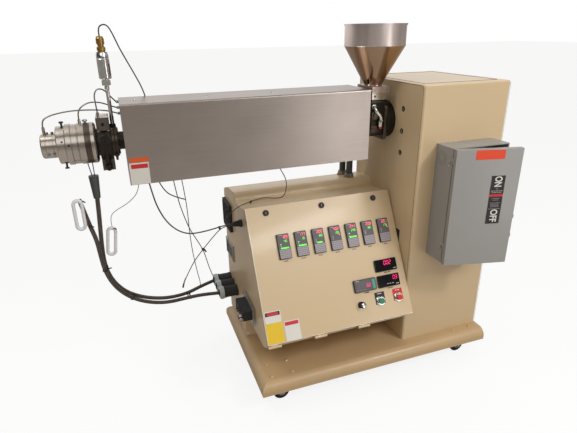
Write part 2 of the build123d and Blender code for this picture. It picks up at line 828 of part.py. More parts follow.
sheet_length = cabinet_width - 2 * cabinet_sheet
with BuildPart() as cabinet_top:
    with BuildSketch(profile_plane.offset(cabinet_left + cabinet_sheet)):
        with BuildLine():
            cabinet_top_line()
            Line(rear_top, rear_lap)
            offset(amount=cabinet_sheet, side=Side.RIGHT)
        make_face()
    extrude(amount=sheet_length)
keep(cabinet_top, "cabinet_top")

with BuildPart() as cabinet_pan:
    with BuildSketch(profile_plane.offset(cabinet_left + cabinet_sheet)):
        with BuildLine():
            Polyline(front_bottom, floor_front, (cabinet_back, cabinet_floor_z), rear_lap)
            offset(amount=cabinet_sheet, side=Side.LEFT)
        make_face()
    extrude(amount=sheet_length)
keep(cabinet_pan, "cabinet_pan")

with BuildPart() as pedestal:
    with BuildSketch(profile_plane.offset(cabinet_left)):
        with Locations(((pedestal_front + cabinet_back) / 2, (base_top + cabinet_floor_z) / 2)):
            Rectangle(cabinet_back - pedestal_front, cabinet_floor_z - base_top)
    extrude(amount=cabinet_width)
keep(pedestal, "pedestal")


# Sloped door with its instruments
controller_size = (controller_width, controller_length)
meter_size = (controller_length, controller_width)
hinge_plane = Plane(
    origin=door_plane.from_local_coords(Vector(0, -door_length - hinge_drop, -hinge_setback)),
    x_dir=door_plane.y_dir,
    z_dir=(1, 0, 0),
)

with BuildPart() as control_door:
    with BuildSketch(door_plane.offset(-door_thickness)):
        with Locations((door_width / 2, -door_length / 2)):
            RectangleRounded(door_width, door_length, door_corner)
        for (station, drop), (width, length) in (
                [(place, controller_size) for place in controller_places]
                + [(place, meter_size) for place in meter_places]):
            with Locations((station + width / 2, -drop - length / 2)):
                Rectangle(width - 2 * bezel_lap, length - 2 * bezel_lap, mode=Mode.SUBTRACT)
        with Locations((green_station, -control_drop), (red_station, -control_drop),
                       (knob_station, -control_drop)):
            Circle(neck_radius + cutout_clearance, mode=Mode.SUBTRACT)
    extrude(amount=door_thickness)
    for station in hinge_stations:
        with BuildSketch(hinge_plane.offset(station - hinge_middle / 2)):
            Circle(hinge_radius)
            with Locations((hinge_drop / 2, 0)):
                Rectangle(hinge_drop, hinge_radius)
            Circle(hinge_pin_radius + hinge_pin_clearance, mode=Mode.SUBTRACT)
        extrude(amount=hinge_middle)
keep(control_door, "control_door")

with BuildPart() as door_hinges:
    cabinet_side = door_gap + door_thickness - hinge_setback
    for station in hinge_stations:
        middle = hinge_middle / 2 + hinge_side_gap
        for start in (station - middle - hinge_outer, station + middle):
            with BuildSketch(hinge_plane.offset(start)):
                Circle(hinge_radius)
                with Locations((0, -cabinet_side / 2)):
                    Rectangle(hinge_radius, cabinet_side)
            extrude(amount=hinge_outer)
        with BuildSketch(hinge_plane.offset(station - middle - hinge_outer)):
            Circle(hinge_pin_radius)
        extrude(amount=2 * (middle + hinge_outer))
keep(door_hinges, "door_hinges")


def instruments(places, size):
    """Bezels that lap the door's outer face, each with its case behind the door."""
    width, length = size
    case_width = width - 2 * bezel_lap - 2 * cutout_clearance
    case_length = length - 2 * bezel_lap - 2 * cutout_clearance
    with BuildPart() as group:
        for station, drop in places:
            middle = (station + width / 2, -drop - length / 2)
            with BuildSketch(door_plane):
                with Locations(middle):
                    RectangleRounded(width, length, 2 * bezel_lap)
            extrude(amount=bezel_height)
            with BuildSketch(door_plane.offset(-instrument_depth)):
                with Locations(middle):
                    Rectangle(case_width, case_length)
            extrude(amount=instrument_depth)
    return group


keep(instruments(controller_places, controller_size), "controllers")
keep(instruments(meter_places, meter_size), "meters")

with BuildPart() as door_latches:
    for station in latch_stations:
        with BuildSketch(door_plane):
            with Locations((station, -latch_drop)):
                Circle(latch_radius)
        extrude(amount=latch_height)
keep(door_latches, "door_latches")

with BuildPart() as control_bushes:
    for station in (green_station, red_station):
        spot = (station, -control_drop)
        with BuildSketch(door_plane):
            with Locations(spot):
                Circle(ring_radius)
                Circle(button_radius + control_clearance, mode=Mode.SUBTRACT)
        extrude(amount=ring_height)
        with BuildSketch(door_plane.offset(-door_thickness)):
            with Locations(spot):
                Circle(neck_radius)
        extrude(amount=door_thickness)
        with BuildSketch(door_plane):
            with Locations(spot):
                Circle(ring_radius)
        extrude(amount=button_stand - button_travel - end_clearance)
        with BuildSketch(door_plane.offset(-door_thickness - contact_depth)):
            with Locations(spot):
                Rectangle(contact_width, contact_length)
        extrude(amount=contact_depth)
        with BuildSketch(door_plane.offset(-door_thickness)):
            with Locations(spot):
                Circle(button_stem_radius + control_clearance)
        extrude(amount=door_thickness + ring_height, mode=Mode.SUBTRACT)
    knob_spot = (knob_station, -control_drop)
    with BuildSketch(door_plane.offset(-door_thickness)):
        with Locations(knob_spot):
            Circle(neck_radius)
    extrude(amount=door_thickness)
    with BuildSketch(door_plane):
        with Locations(knob_spot):
            Circle(ring_radius)
    extrude(amount=knob_bush_height)
    with BuildSketch(door_plane.offset(-door_thickness - contact_depth)):
        with Locations(knob_spot):
            Circle(ring_radius)
    extrude(amount=contact_depth)
    with BuildSketch(door_plane.offset(-door_thickness)):
        with Locations(knob_spot):
            Circle(knob_stem_radius + control_clearance)
    extrude(amount=door_thickness + knob_bush_height, mode=Mode.SUBTRACT)
keep(control_bushes, "control_bushes")


def push_button(station):
    """A round cap on a stem that slides in its housing."""
    spot = (station, -control_drop)
    with BuildPart() as button:
        with BuildSketch(door_plane.offset(button_stand)):
            with Locations(spot):
                Circle(button_radius)
        extrude(amount=button_height)
        stem_back = button_travel + end_clearance - door_thickness
        with BuildSketch(door_plane.offset(stem_back)):
            with Locations(spot):
                Circle(button_stem_radius)
        extrude(amount=button_stand - stem_back)
    return button


keep(push_button(green_station), "green_button")
keep(push_button(red_station), "red_button")

with BuildPart() as speed_knob:
    with BuildSketch(door_plane.offset(knob_stand)):
        with Locations(knob_spot):
            Circle(knob_radius)
    extrude(amount=knob_height, taper=knob_taper)
    with BuildSketch(door_plane.offset(end_clearance - door_thickness)):
        with Locations(knob_spot):
            Circle(knob_stem_radius)
    extrude(amount=door_thickness + knob_stand - end_clearance)
keep(speed_knob, "speed_knob")

# Fittings on the left end
grille_spot = (cabinet_back - grille_inset, rear_top_z - grille_fall)
inlet_spot = (cabinet_back - inlet_inset, rear_top_z - inlet_fall)
gland_spot = (gland_y, valley_z - gland_fall)
jack_spot = (jack_y, cabinet_floor_z + jack_rise)
connector_z = cabinet_floor_z + connector_rise

with BuildPart() as fan_grille:
    with BuildSketch(left_end_plane(*grille_spot)):
        Rectangle(grille_depth, grille_height)
    extrude(amount=grille_thickness)
    fillet(fan_grille.edges().filter_by(Axis.X), radius=grille_round)
    slot_pitch = (grille_height - 2 * grille_round) / grille_slot_count
    with BuildSketch(left_end_plane(*grille_spot, grille_thickness)):
        for number in range(grille_slot_count):
            slot_z = (number - (grille_slot_count - 1) / 2) * slot_pitch
            with Locations((0, slot_z)):
                Rectangle(grille_depth - 4 * grille_round, grille_slot_height)
    extrude(amount=-grille_thickness / 2, mode=Mode.SUBTRACT)
keep(fan_grille, "fan_grille")

with BuildPart() as end_plates:
    with BuildSketch(left_end_plane(*inlet_spot)):
        Rectangle(inlet_depth, inlet_height)
        Rectangle(inlet_depth - 2 * inlet_frame, inlet_height - 2 * inlet_frame,
                  mode=Mode.SUBTRACT)
    extrude(amount=inlet_thickness)
    with BuildSketch(left_end_plane(*jack_spot)):
        Rectangle(jack_block_depth, jack_block_height)
    extrude(amount=jack_plate_stand)
    with BuildSketch(left_end_plane(*jack_spot, jack_plate_stand)):
        Rectangle(jack_plate_depth, jack_plate_height)
    extrude(amount=jack_plate_thickness)
keep(end_plates, "end_plates")

with BuildPart() as jack_block:
    block_plane = left_end_plane(*jack_spot, jack_plate_stand + jack_plate_thickness)
    with BuildSketch(block_plane):
        Rectangle(jack_block_depth, jack_block_height)
    extrude(amount=jack_block_reach)
    rib_pitch = jack_block_depth / jack_rib_count
    with BuildSketch(block_plane.offset(jack_block_reach)):
        for number in range(jack_rib_count):
            with Locations(((number - (jack_rib_count - 1) / 2) * rib_pitch, 0)):
                Rectangle(jack_rib_width, jack_block_height)
    extrude(amount=jack_rib_depth)
keep(jack_block, "jack_block")

with BuildPart() as round_connectors:
    for number in range(connector_count):
        connector_y = cabinet_back - connector_inset + number * connector_pitch
        connector_plane = left_end_plane(connector_y, connector_z)
        with BuildSketch(connector_plane):
            Circle(connector_radius + connector_lip)
        extrude(amount=connector_collar)
        with BuildSketch(connector_plane):
            Circle(connector_radius)
        extrude(amount=connector_length)
        with BuildSketch(connector_plane.offset(connector_length)):
            Circle(connector_radius + connector_lip)
        extrude(amount=connector_ring)
keep(round_connectors, "round_connectors")

with BuildPart() as cable_glands:
    gland_plane = left_end_plane(*gland_spot)
    with BuildSketch(gland_plane):
        RegularPolygon(gland_hex / 2, 6, major_radius=False)
    extrude(amount=gland_hex_length)
    with BuildSketch(gland_plane.offset(gland_hex_length)):
        Circle(gland_radius)
    extrude(amount=gland_length - gland_hex_length, taper=gland_taper)
    box_gland_spot = (box_x + box_gland_x, axis_y - drive_depth / 2 - box_depth / 2, box_bottom)
    with BuildSketch(Plane(origin=box_gland_spot)):
        Circle(box_gland_radius)
        Circle(box_gland_bore, mode=Mode.SUBTRACT)
    extrude(amount=-box_gland_length)
keep(cable_glands, "cable_glands")

with BuildPart() as lead_grommets:
    grommet_faces = [
        (cover_left - grommet_length, axis_y + grommet_y,
         axis_height + grommet_start + number * grommet_pitch)
        for number in range(grommet_count)
    ]
    for face in grommet_faces:
        with BuildSketch(Plane(origin=face, x_dir=(0, 1, 0), z_dir=(1, 0, 0))):
            Circle(grommet_radius)
        extrude(amount=grommet_length)
    back_face = (cover_left + back_grommet_station,
                 axis_y + cover_depth / 2 + back_grommet_length,
                 axis_height + back_grommet_height)
    with BuildSketch(Plane(origin=back_face, x_dir=(1, 0, 0), z_dir=(0, -1, 0))):
        Circle(grommet_radius)
    extrude(amount=back_grommet_length)
    front_sheet_y = axis_y - cover_depth / 2 + cover_sheet
    clip_stations = [clip_start + number * clip_pitch for number in range(clip_count)]
    clip_stations += [middle_clip_start + number * middle_clip_pitch
                      for number in range(middle_clip_count)]
    clip_stations.append(far_clip_start)
    for station in clip_stations:
        clip_middle = (cover_left + station, front_sheet_y + clip_depth / 2, cover_bottom + clip_rise)
        with BuildSketch(Plane(origin=clip_middle)):
            Rectangle(clip_width, clip_depth)
        extrude(amount=clip_height)
keep(lead_grommets, "lead_grommets")

# Conduits behind the barrel cover, bent into its back
with BuildPart() as conduits:
    for spot_y, rise in zip(conduit_y, conduit_above_cover_edge):
        foot = (drive_x + conduit_x, axis_y + spot_y, valley_z)
        bend = (foot[0], foot[1], cover_bottom + rise)
        end = (foot[0], axis_y + cover_depth / 2, bend[2])
        with BuildLine() as route:
            FilletPolyline(foot, bend, end, radius=conduit_bend)
        with BuildSketch(Plane(origin=foot)):
            Circle(conduit_radius)
        sweep(path=route.wires()[0])
        with BuildSketch(Plane(origin=foot)):
            RegularPolygon(conduit_nut_radius, 6)
        extrude(amount=crown_z - valley_z + conduit_nut_height)
    add(cabinet_profile(cabinet_left, cabinet_width).part, mode=Mode.SUBTRACT)
keep(conduits, "conduits")

# Switch box
box_front_y = axis_y - drive_depth / 2 - box_depth
with BuildPart() as switch_box:
    box_middle = (box_x + box_width / 2, axis_y - drive_depth / 2 - box_depth / 2, box_bottom)
    with BuildSketch(Plane(origin=box_middle)):
        Rectangle(box_width, box_depth)
    extrude(amount=box_height)
    inner_plane = Plane(
        origin=(box_middle[0], box_front_y, box_bottom + box_height / 2),
        x_dir=(1, 0, 0), z_dir=(0, -1, 0))
    with BuildSketch(inner_plane):
        Rectangle(box_width - 2 * box_sheet, box_height - 2 * box_sheet)
    extrude(amount=-(box_depth - box_sheet), mode=Mode.SUBTRACT)
keep(switch_box, "switch_box")

pivot = (box_x, axis_y + box_pivot_y)
ajar_plane = Plane(
    origin=(*pivot, box_bottom),
    x_dir=(cos(radians(box_ajar)), -sin(radians(box_ajar)), 0),
    z_dir=(0, 0, 1),
)
with BuildPart() as switch_box_cover:
    with BuildSketch(ajar_plane):
        with Locations((box_width / 2, -box_gap / 2 - box_cover_depth / 2)):
            Rectangle(box_width, box_cover_depth)
    extrude(amount=box_height)
    fillet(switch_box_cover.edges().filter_by(Axis.Z).sort_by(Axis.Y)[:2], radius=box_cover_edge)
    for height in box_tab_heights:
        with BuildSketch(ajar_plane.offset(height)):
            with Locations((box_width + box_tab_reach / 2, -box_gap / 2 - box_cover_depth / 2)):
                Rectangle(box_tab_reach, box_cover_depth / 2)
        extrude(amount=box_tab_height)
    for height in box_hinge_heights:
        with BuildSketch(ajar_plane.offset(height + box_hinge_length / 2 + hinge_side_gap)):
            Circle(box_hinge_radius)
            with Locations((-box_leaf / 2, -box_hinge_reach / 2)):
                Rectangle(box_leaf, box_hinge_reach)
        extrude(amount=box_hinge_length / 2)
keep(switch_box_cover, "switch_box_cover")

with BuildPart() as switch_box_hinges:
    for height in box_hinge_heights:
        with BuildSketch(Plane(origin=(*pivot, box_bottom + height))):
            Circle(box_hinge_radius)
            with Locations((-box_leaf / 2, box_hinge_reach / 2)):
                Rectangle(box_leaf, box_hinge_reach)
        extrude(amount=box_hinge_length / 2)
keep(switch_box_hinges, "switch_box_hinges")

with BuildPart() as switch_lever:
    lever_angle = radians(90 - handle_lean)
    handle_plane = Plane(
        origin=(box_x + box_width, box_middle[1], box_bottom + handle_height),
        x_dir=(0, -1, 0),
        z_dir=(1, 0, 0),
    )
    with BuildSketch(handle_plane):
        Circle(handle_hub_radius)
    extrude(amount=handle_stand)
    with BuildSketch(handle_plane.offset(handle_stand)):
        Circle(handle_hub_radius)
        lever_middle = (handle_length / 2 * cos(lever_angle), -handle_length / 2 * sin(lever_angle))
        with Locations(Location((*lever_middle, 0), (0, 0, -90 + handle_lean))):
            SlotOverall(handle_length + handle_width, handle_width)
    extrude(amount=handle_thickness)
keep(switch_lever, "switch_lever")


# Cords, and what hangs on them
def cord_tube(name, size, route, *ends):
    """A round tube of straight runs and tangent arcs, cut flush where it meets the pieces at its
    ends. Its radii are printed."""
    radii = []
    for before, corner, after in zip(route, route[1:], route[2:]):
        first = Vector(*corner) - Vector(*before)
        second = Vector(*after) - Vector(*corner)
        half_turn = radians(first.get_angle(second) / 2)
        radii.append(cord_bend_share * min(first.length, second.length) / tan(half_turn))
    with BuildPart() as tube:
        with BuildLine() as path:
            FilletPolyline(*route, radius=radii)
        centre_line = path.wires()[0]
        with BuildSketch(Plane(origin=route[0], z_dir=centre_line % 0)):
            Circle(size / 2)
        sweep(path=centre_line)
        swept = tube.part.volume / (pi * size ** 2 / 4 * centre_line.length)
        for piece in ends:
            add(piece.part, mode=Mode.SUBTRACT)
    print(name, "radii", [round(radius) for radius in radii], "volume share", round(swept, 4))
    keep(tube, name)


with BuildPart() as heater_plug:
    plug_end = Plane(origin=heater_cable_upper_route[0])
    with BuildSketch(plug_end):
        Circle(heater_plug_end_radius)
    with BuildSketch(plug_end.offset(heater_plug_length)):
        Circle(heater_plug_top_radius)
    loft()
    plug_x, plug_y, plug_z = heater_cable_upper_route[0]
    for tail_start, tail_end in zip(heater_tail_starts, (-heater_tail_spread, heater_tail_spread)):
        tail_top = Vector(plug_x + tail_start, axis_y, axis_height)
        tail_foot = Vector(plug_x + tail_end, plug_y, plug_z + heater_plug_length)
        with BuildSketch(Plane(origin=tail_foot, z_dir=tail_top - tail_foot)):
            Circle(heater_tail_radius)
        extrude(amount=(tail_top - tail_foot).length)
    with BuildSketch(along_barrel.offset(clamp_x - die_neck_length - die_ring_lengths[0])):
        Circle(die_ring_radii[0])
    extrude(amount=die_ring_lengths[0], mode=Mode.SUBTRACT)
keep(heater_plug, "heater_plug")

with BuildPart() as cable_links:
    link_y = heater_cable_lower_route[0][1] - (heater_cable_size + link_thickness) / 2
    tag_end = tag_wire_route[-1]
    link_places = (
        (upper_link_middle[0], link_y, upper_link_middle[1], 0),
        (tag_end[0] + lower_link_shift, tag_end[1], tag_end[2] - lower_link_drop, lower_link_lean),
    )
    for link_x, link_y, link_z, lean in link_places:
        front = Plane(origin=(link_x, link_y, link_z), x_dir=(1, 0, 0), z_dir=(0, -1, 0))
        with BuildSketch(front.rotated((0, lean, 0))):
            SlotOverall(link_length, link_width, rotation=90)
            SlotOverall(link_length - 2 * link_wall, link_width - 2 * link_wall, rotation=90,
                        mode=Mode.SUBTRACT)
        extrude(amount=link_thickness / 2, both=True)
keep(cable_links, "cable_links")

cord_tube("transducer_lead", transducer_lead_size,
          [(transducer_x, axis_y, transducer_top), *transducer_lead_route, back_face],
          transducer, lead_grommets)
cord_tube("probe_lead_front", probe_lead_size,
          [foot_tops[0], *probe_lead_front_route, grommet_faces[0]], probe_feet, lead_grommets)
cord_tube("probe_lead_middle", probe_lead_size,
          [foot_tops[1], *probe_lead_middle_route, grommet_faces[1]], probe_feet, lead_grommets)
cord_tube("probe_lead_rear", probe_lead_size,
          [foot_tops[2], *probe_lead_rear_route, grommet_faces[2]], probe_feet, lead_grommets)
cord_tube("heater_cable_upper", heater_cable_size, heater_cable_upper_route,
          heater_plug, round_connectors)
cord_tube("heater_cable_lower", heater_cable_size, heater_cable_lower_route, round_connectors)
cord_tube("gland_wire", gland_wire_size, gland_wire_route, lead_grommets, cable_glands)
cord_tube("short_wire", short_wire_size, short_wire_route, lead_grommets)
cord_tube("probe_wire", thin_wire_size, probe_wire_route, lead_grommets, round_connectors)
cord_tube("loose_wire", thin_wire_size, loose_wire_route, cable_glands)
cord_tube("cable_wire", thin_wire_size, cable_wire_route, lead_grommets)
cord_tube("cabinet_wire", thin_wire_size, cabinet_wire_route, cable_glands, lead_grommets)
cord_tube("tag_wire", tag_wire_size, tag_wire_route, lead_grommets)
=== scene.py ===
"""Finishes, fittings, cables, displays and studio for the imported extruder.

The machine stands in its own frame: its barrel runs along X with the die towards -X, the operator
stands on the -Y side and Z is up. Lengths are millimetres unless a comment says metres, and each
place turns them into the frame's metres.
"""
import json
import math

import bmesh
import bpy
from bpy.props import FloatProperty, FloatVectorProperty, IntProperty, PointerProperty
from mathutils import Matrix, Vector

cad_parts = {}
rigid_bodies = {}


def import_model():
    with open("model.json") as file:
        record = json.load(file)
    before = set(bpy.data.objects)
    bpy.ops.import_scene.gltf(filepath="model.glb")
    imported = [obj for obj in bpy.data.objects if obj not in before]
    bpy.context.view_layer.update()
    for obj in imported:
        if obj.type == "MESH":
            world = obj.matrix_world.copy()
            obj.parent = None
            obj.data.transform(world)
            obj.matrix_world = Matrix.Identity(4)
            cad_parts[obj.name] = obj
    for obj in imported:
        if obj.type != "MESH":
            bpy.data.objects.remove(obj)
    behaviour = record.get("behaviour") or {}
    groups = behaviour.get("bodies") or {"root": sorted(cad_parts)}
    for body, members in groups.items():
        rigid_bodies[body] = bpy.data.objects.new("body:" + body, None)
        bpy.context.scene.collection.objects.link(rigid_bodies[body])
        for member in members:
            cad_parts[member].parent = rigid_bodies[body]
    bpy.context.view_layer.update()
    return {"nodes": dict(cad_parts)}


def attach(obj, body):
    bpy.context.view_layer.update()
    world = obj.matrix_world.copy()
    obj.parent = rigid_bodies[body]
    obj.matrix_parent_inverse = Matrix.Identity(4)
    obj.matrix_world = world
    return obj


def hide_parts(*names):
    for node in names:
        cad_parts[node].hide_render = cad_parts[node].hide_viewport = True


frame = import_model()

bl_info = {
    "name": "Extruder dressing",
    "version": (1, 0, 0),
    "blender": (4, 5, 0),
    "location": "3D View > Sidebar > Extruder",
    "description": "Adds finishes, fittings, cables, displays and a studio to the extruder",
    "category": "Object",
}

MM = 0.001
AXIS_Y, AXIS_Z = 55.25, 1040.0
CLAMP_X, TRANSDUCER_X, HOPPER_X = -629.5, -600, 369
CABINET_LEFT, DRIVE_LEFT, DRIVE_MIDDLE, DRIVE_BACK = -180.5, 437.5, 629.5, 295.25
DOOR_TILT = math.radians(29.0)
DOOR_CORNER = (CABINET_LEFT, -2.45, 756.4)
BOX_LEFT = 515.5
BOX_AJAR = math.radians(13.6)
STRIP_ACROSS, STRIP_UP = 167, 258
BUTTONS, BUTTON_DOWN, KNOB_ACROSS = (481, 562), 439, 395
LATCHES = (77, 306.5, 536)
CONNECTORS = (212.25, 272.75, 333.25)
CORNERS = ((-1, -1), (-1, 1), (1, -1), (1, 1))
# The castors' places, and their brackets' bolts about them
CASTORS_X, CASTORS_Y = (-115.5, 728.5), (-170.25, 280.75)
BRACKET_BOLT_X, BRACKET_BOLT_Y = 42.5, 35.5


def tint(*chart):
    """A linear colour from the eight-bit numbers of a colour chart."""
    return tuple(value / 255 / 12.92 if value <= 10 else ((value / 255 + 0.055) / 1.055) ** 2.4
                 for value in chart)


def colour(name, description, default):
    return FloatVectorProperty(name=name, description=description, subtype="COLOR", size=3,
                               min=0, max=1, default=default)


def millimetres(name, description, default):
    return FloatProperty(name=name, description=description, default=default * MM,
                         subtype="DISTANCE", unit="LENGTH", min=0, precision=4)


def degrees(name, description, default):
    return FloatProperty(name=name, description=description, subtype="ANGLE", unit="ROTATION",
                         default=math.radians(default))


def amount(name, description, default):
    return FloatProperty(name=name, description=description, default=default, min=0)


class ExtruderColours(bpy.types.PropertyGroup):
    cabinet: colour("Cabinets", "Enamel of the cabinets and the door", tint(212, 187, 149))
    # The base's colour is the cabinets' paint made darker: painted shade low on the machine
    base: colour("Base", "Enamel of the base", tint(200, 169, 126))
    cover: colour("Barrel cover", "Brushed sheet of the barrel cover", tint(176, 165, 158))
    switch_box: colour("Switch box", "Enamel of the switch box", tint(154, 152, 149))
    turned_steel: colour("Turned steel", "Die rings and nozzle", tint(205, 195, 184))
    black_steel: colour("Blackened steel", "Clamp and adapter", tint(52, 47, 42))
    braid: colour("Cable braid", "Metal braid of the heater cables", tint(110, 101, 93))
    red_digits: colour("Red digits", "Glow of the red displays", (1.0, 0.12, 0.18))
    green_digits: colour("Green digits", "Glow of the green displays", (0.12, 1.0, 0.06))
    meter_digits: colour("Meter digits", "Glow of the meters", (0.9, 0.01, 0.17))


class ExtruderSizes(bpy.types.PropertyGroup):
    cover_screw: millimetres("Cover screws", "Head radius of the screws on the cover", 4.2)
    bolt_head: millimetres("Die bolts", "Head radius of the bolts on the die", 6.0)
    tie_width: millimetres("Cable ties", "Width of the ties round the cables", 4.5)
    digit_height: millimetres("Digits", "Height of the digits on the controllers", 11.0)
    braid_strands: IntProperty(
        name="Braid strands", description="Bundles that cross on the cable braid", default=16,
        min=4, max=64)


class ExtruderStudio(bpy.types.PropertyGroup):
    camera_place: FloatVectorProperty(
        name="Camera", description="Where the camera stands", subtype="TRANSLATION", unit="LENGTH",
        size=3, default=(-0.58039, -1.60379, 1.37699))
    camera_yaw: degrees("Yaw", "Turn of the camera to the right", 19.7)
    camera_pitch: degrees("Pitch", "Fall of the camera's view", 21.7)
    camera_roll: degrees("Roll", "Lean of the camera", -0.8)
    lens: amount("Lens", "Focal length in millimetres", 29.231)
    key_power: amount("Key light", "Lamp at the upper right, in watts", 37.0)
    fill_power: amount("Fill light", "Wide lamp at the upper left, in watts", 20.0)
    strip_power: amount("Strip light", "Long lamp that the door mirrors, in watts", 8.5)
    low_power: amount("Low light", "Lamp that the cover mirrors, in watts", 6.0)
    side_power: amount("Side light", "Lamp above the die, in watts", 19.0)
    sky_strength: amount("Room light", "Strength of the room's own light", 0.95)
    backdrop: colour("Backdrop", "Floor as the camera sees it", (0.95, 0.95, 0.95))
    bounce: colour("Bounce", "Floor as the machine sees it", (0.36, 0.32, 0.27))


# Places: matrices from millimetres on a surface to the frame's metres


def place(origin, x_dir=(1, 0, 0), z_dir=(0, 0, 1)):
    """A place with its Z along z_dir and its X along x_dir."""
    along_z = Vector(z_dir).normalized()
    along_x = Vector(x_dir)
    along_x = (along_x - along_z * along_x.dot(along_z)).normalized()
    turn = Matrix((along_x, along_z.cross(along_x), along_z)).transposed().to_4x4()
    return Matrix.Translation(Vector(origin) * MM) @ turn @ Matrix.Scale(MM, 4)


def door_spot(across, down, out=0.0):
    """A place on the sloped door: X to the right, Y up the slope, Z out of the door."""
    outward = Vector((0, -math.cos(DOOR_TILT), math.sin(DOOR_TILT)))
    upward = Vector((0, math.sin(DOOR_TILT), math.cos(DOOR_TILT)))
    origin = Vector(DOOR_CORNER) + Vector((across, 0, 0)) - upward * down + outward * out
    return place(origin, z_dir=outward)


def side_spot(x, y, z, facing):
    """A place that faces the operator where facing is -1, and away where it is 1."""
    return place((x, y, z), z_dir=(0, facing, 0))


def front_spot(x, y, z):
    return side_spot(x, y, z, -1)


def down_spot(x, y, z):
    return place((x, y, z), z_dir=(0, 0, -1))


def left_spot(x, y, z):
    """A place that faces along -X, with its X towards the operator."""
    return place((x, y, z), (0, -1, 0), (-1, 0, 0))


def right_spot(x, y, z):
    return place((x, y, z), (0, 1, 0), (1, 0, 0))


def back_spot(z):
    """A place on the drive cabinet's back."""
    return place((DRIVE_MIDDLE, DRIVE_BACK, z), (-1, 0, 0), (0, 1, 0))


def rim_spot(x, angle, radius):
    """A place on a round part of the head, at an angle above the operator's side."""
    outward = Vector((0, -math.cos(math.radians(angle)), math.sin(math.radians(angle))))
    return place(Vector((x, AXIS_Y, AXIS_Z)) + outward * radius, z_dir=outward)


def stem_spot(angle, radius, height):
    """A place on the transducer's side."""
    turn = math.radians(angle)
    outward = Vector((math.cos(turn), math.sin(turn), 0))
    return place(Vector((TRANSDUCER_X, AXIS_Y, height)) + outward * radius,
                 (-math.sin(turn), math.cos(turn), 0), outward)


def cover_spot(across, up, out=0.0):
    """A place on the front of the switch box's cover, which stands ajar."""
    along = Vector((math.cos(BOX_AJAR), -math.sin(BOX_AJAR), 0))
    outward = Vector((-math.sin(BOX_AJAR), -math.cos(BOX_AJAR), 0))
    origin = Vector((BOX_LEFT, -282.25, 533)) + along * across + outward * (24.5 + out)
    return place(origin + Vector((0, 0, up)), along, outward)


def moved(where, x, y, z=0.0):
    return where @ Matrix.Translation((x, y, z))


# Shapes, each added to a bmesh


def ring_points(radius, count):
    return [(radius * math.cos(math.tau * k / count), radius * math.sin(math.tau * k / count))
            for k in range(count)]


def rounded_box(width, height, radius, middle=(0.0, 0.0), steps=4):
    """The outline of a box with round corners, anticlockwise."""
    points = []
    for corner, (side_x, side_y) in enumerate(((1, 1), (-1, 1), (-1, -1), (1, -1))):
        for step in range(steps + 1):
            angle = math.radians(90 * (corner + step / steps))
            points.append((middle[0] + side_x * (width / 2 - radius) + radius * math.cos(angle),
                           middle[1] + side_y * (height / 2 - radius) + radius * math.sin(angle)))
    return points


def stadium(half, reach, start, steps):
    """Two half circles about points on a line, from an angle in degrees."""
    middle = math.radians(start + 90)
    points = []
    for end in (1, -1):
        for step in range(steps + 1):
            angle = math.radians(start + 180 * step / steps) + (0 if end > 0 else math.pi)
            points.append((end * half * math.cos(middle) + reach * math.cos(angle),
                           end * half * math.sin(middle) + reach * math.sin(angle)))
    return points


def toothed(inner, outer, teeth, steps):
    """The outline of a ring with square teeth."""
    points = []
    for tooth in range(teeth):
        for half, radius in ((0, outer), (1, inner)):
            for step in range(steps):
                angle = math.tau * (tooth + (half + step / (steps - 1)) / 2) / teeth
                points.append((radius * math.cos(angle), radius * math.sin(angle)))
    return points


def ring_at(bm, where, outline, height):
    return [bm.verts.new(where @ Vector((x, y, height))) for x, y in outline]


def join(bm, low, high):
    """Adds the faces between two rings. A ring of one point closes an end."""
    count = max(len(low), len(high))
    faces = []
    for k in range(count):
        after = (k + 1) % count
        corners = (low[k % len(low)], low[after % len(low)], high[after % len(high)],
                   high[k % len(high)])
        faces.append(bm.faces.new(tuple(dict.fromkeys(corners))))
    return faces


def loft(bm, where, low_outline, low, high_outline, high):
    """Adds a solid between two outlines with as many points."""
    rings = [ring_at(bm, where, low_outline, low), ring_at(bm, where, high_outline, high)]
    bm.faces.new(rings[0][::-1])
    bm.faces.new(rings[1])
    join(bm, *rings)


def prism(bm, where, outline, low, high):
    loft(bm, where, outline, low, outline, high)


def bar(bm, where, width, height, low, high, radius=0.5, middle=(0.0, 0.0)):
    """Adds a flat bar with round corners."""
    prism(bm, where, rounded_box(width, height, radius, middle, 2), low, high)


def turned(bm, where, profile, count=40):
    """Adds a turned solid. The profile lists radius and height; a radius of 0 ends it."""
    rings = [ring_at(bm, where, ring_points(radius, count) if radius else [(0, 0)], height)
             for radius, height in profile]
    for low, high in zip(rings, rings[1:]):
        join(bm, low, high)


def post(bm, where, profile, count=40):
    """Adds a turned solid with flat ends."""
    turned(bm, where, [(0, profile[0][1]), *profile, (0, profile[-1][1])], count)


def disc(bm, where, radius, low, high, count=24):
    post(bm, where, [(radius, low), (radius, high)], count)


def hoop(bm, where, profile, count=48):
    """Adds a turned ring, whose profile goes round and comes back to its start."""
    turned(bm, where, [*profile, profile[0]], count)


def collar(bm, where, inner, outer, low, high, count=48):
    """Adds a turned ring with square edges."""
    hoop(bm, where, [(inner, low), (outer, low), (outer, high), (inner, high)], count)


def head_turned(bm, profile):
    """Adds a solid turned round the barrel's axis. The profile lists X and radius."""
    turned(bm, left_spot(0, AXIS_Y, AXIS_Z), [(radius, -x) for x, radius in profile], 72)


def stud(bm, where, radius, height, sides=16):
    """Adds a round head with a broken edge."""
    edge = min(radius, height) * 0.2
    post(bm, where, [(radius, 0), (radius, height - edge), (radius - edge, height)], sides)


def socket_screw(bm, where, radius, height):
    """Adds a cap screw with its six-sided hole."""
    hole, edge = radius * 0.55, radius * 0.12
    post(bm, where, [(radius, 0), (radius, height - edge), (radius - edge, height),
                     (hole, height), (hole, height * 0.4)], 24)


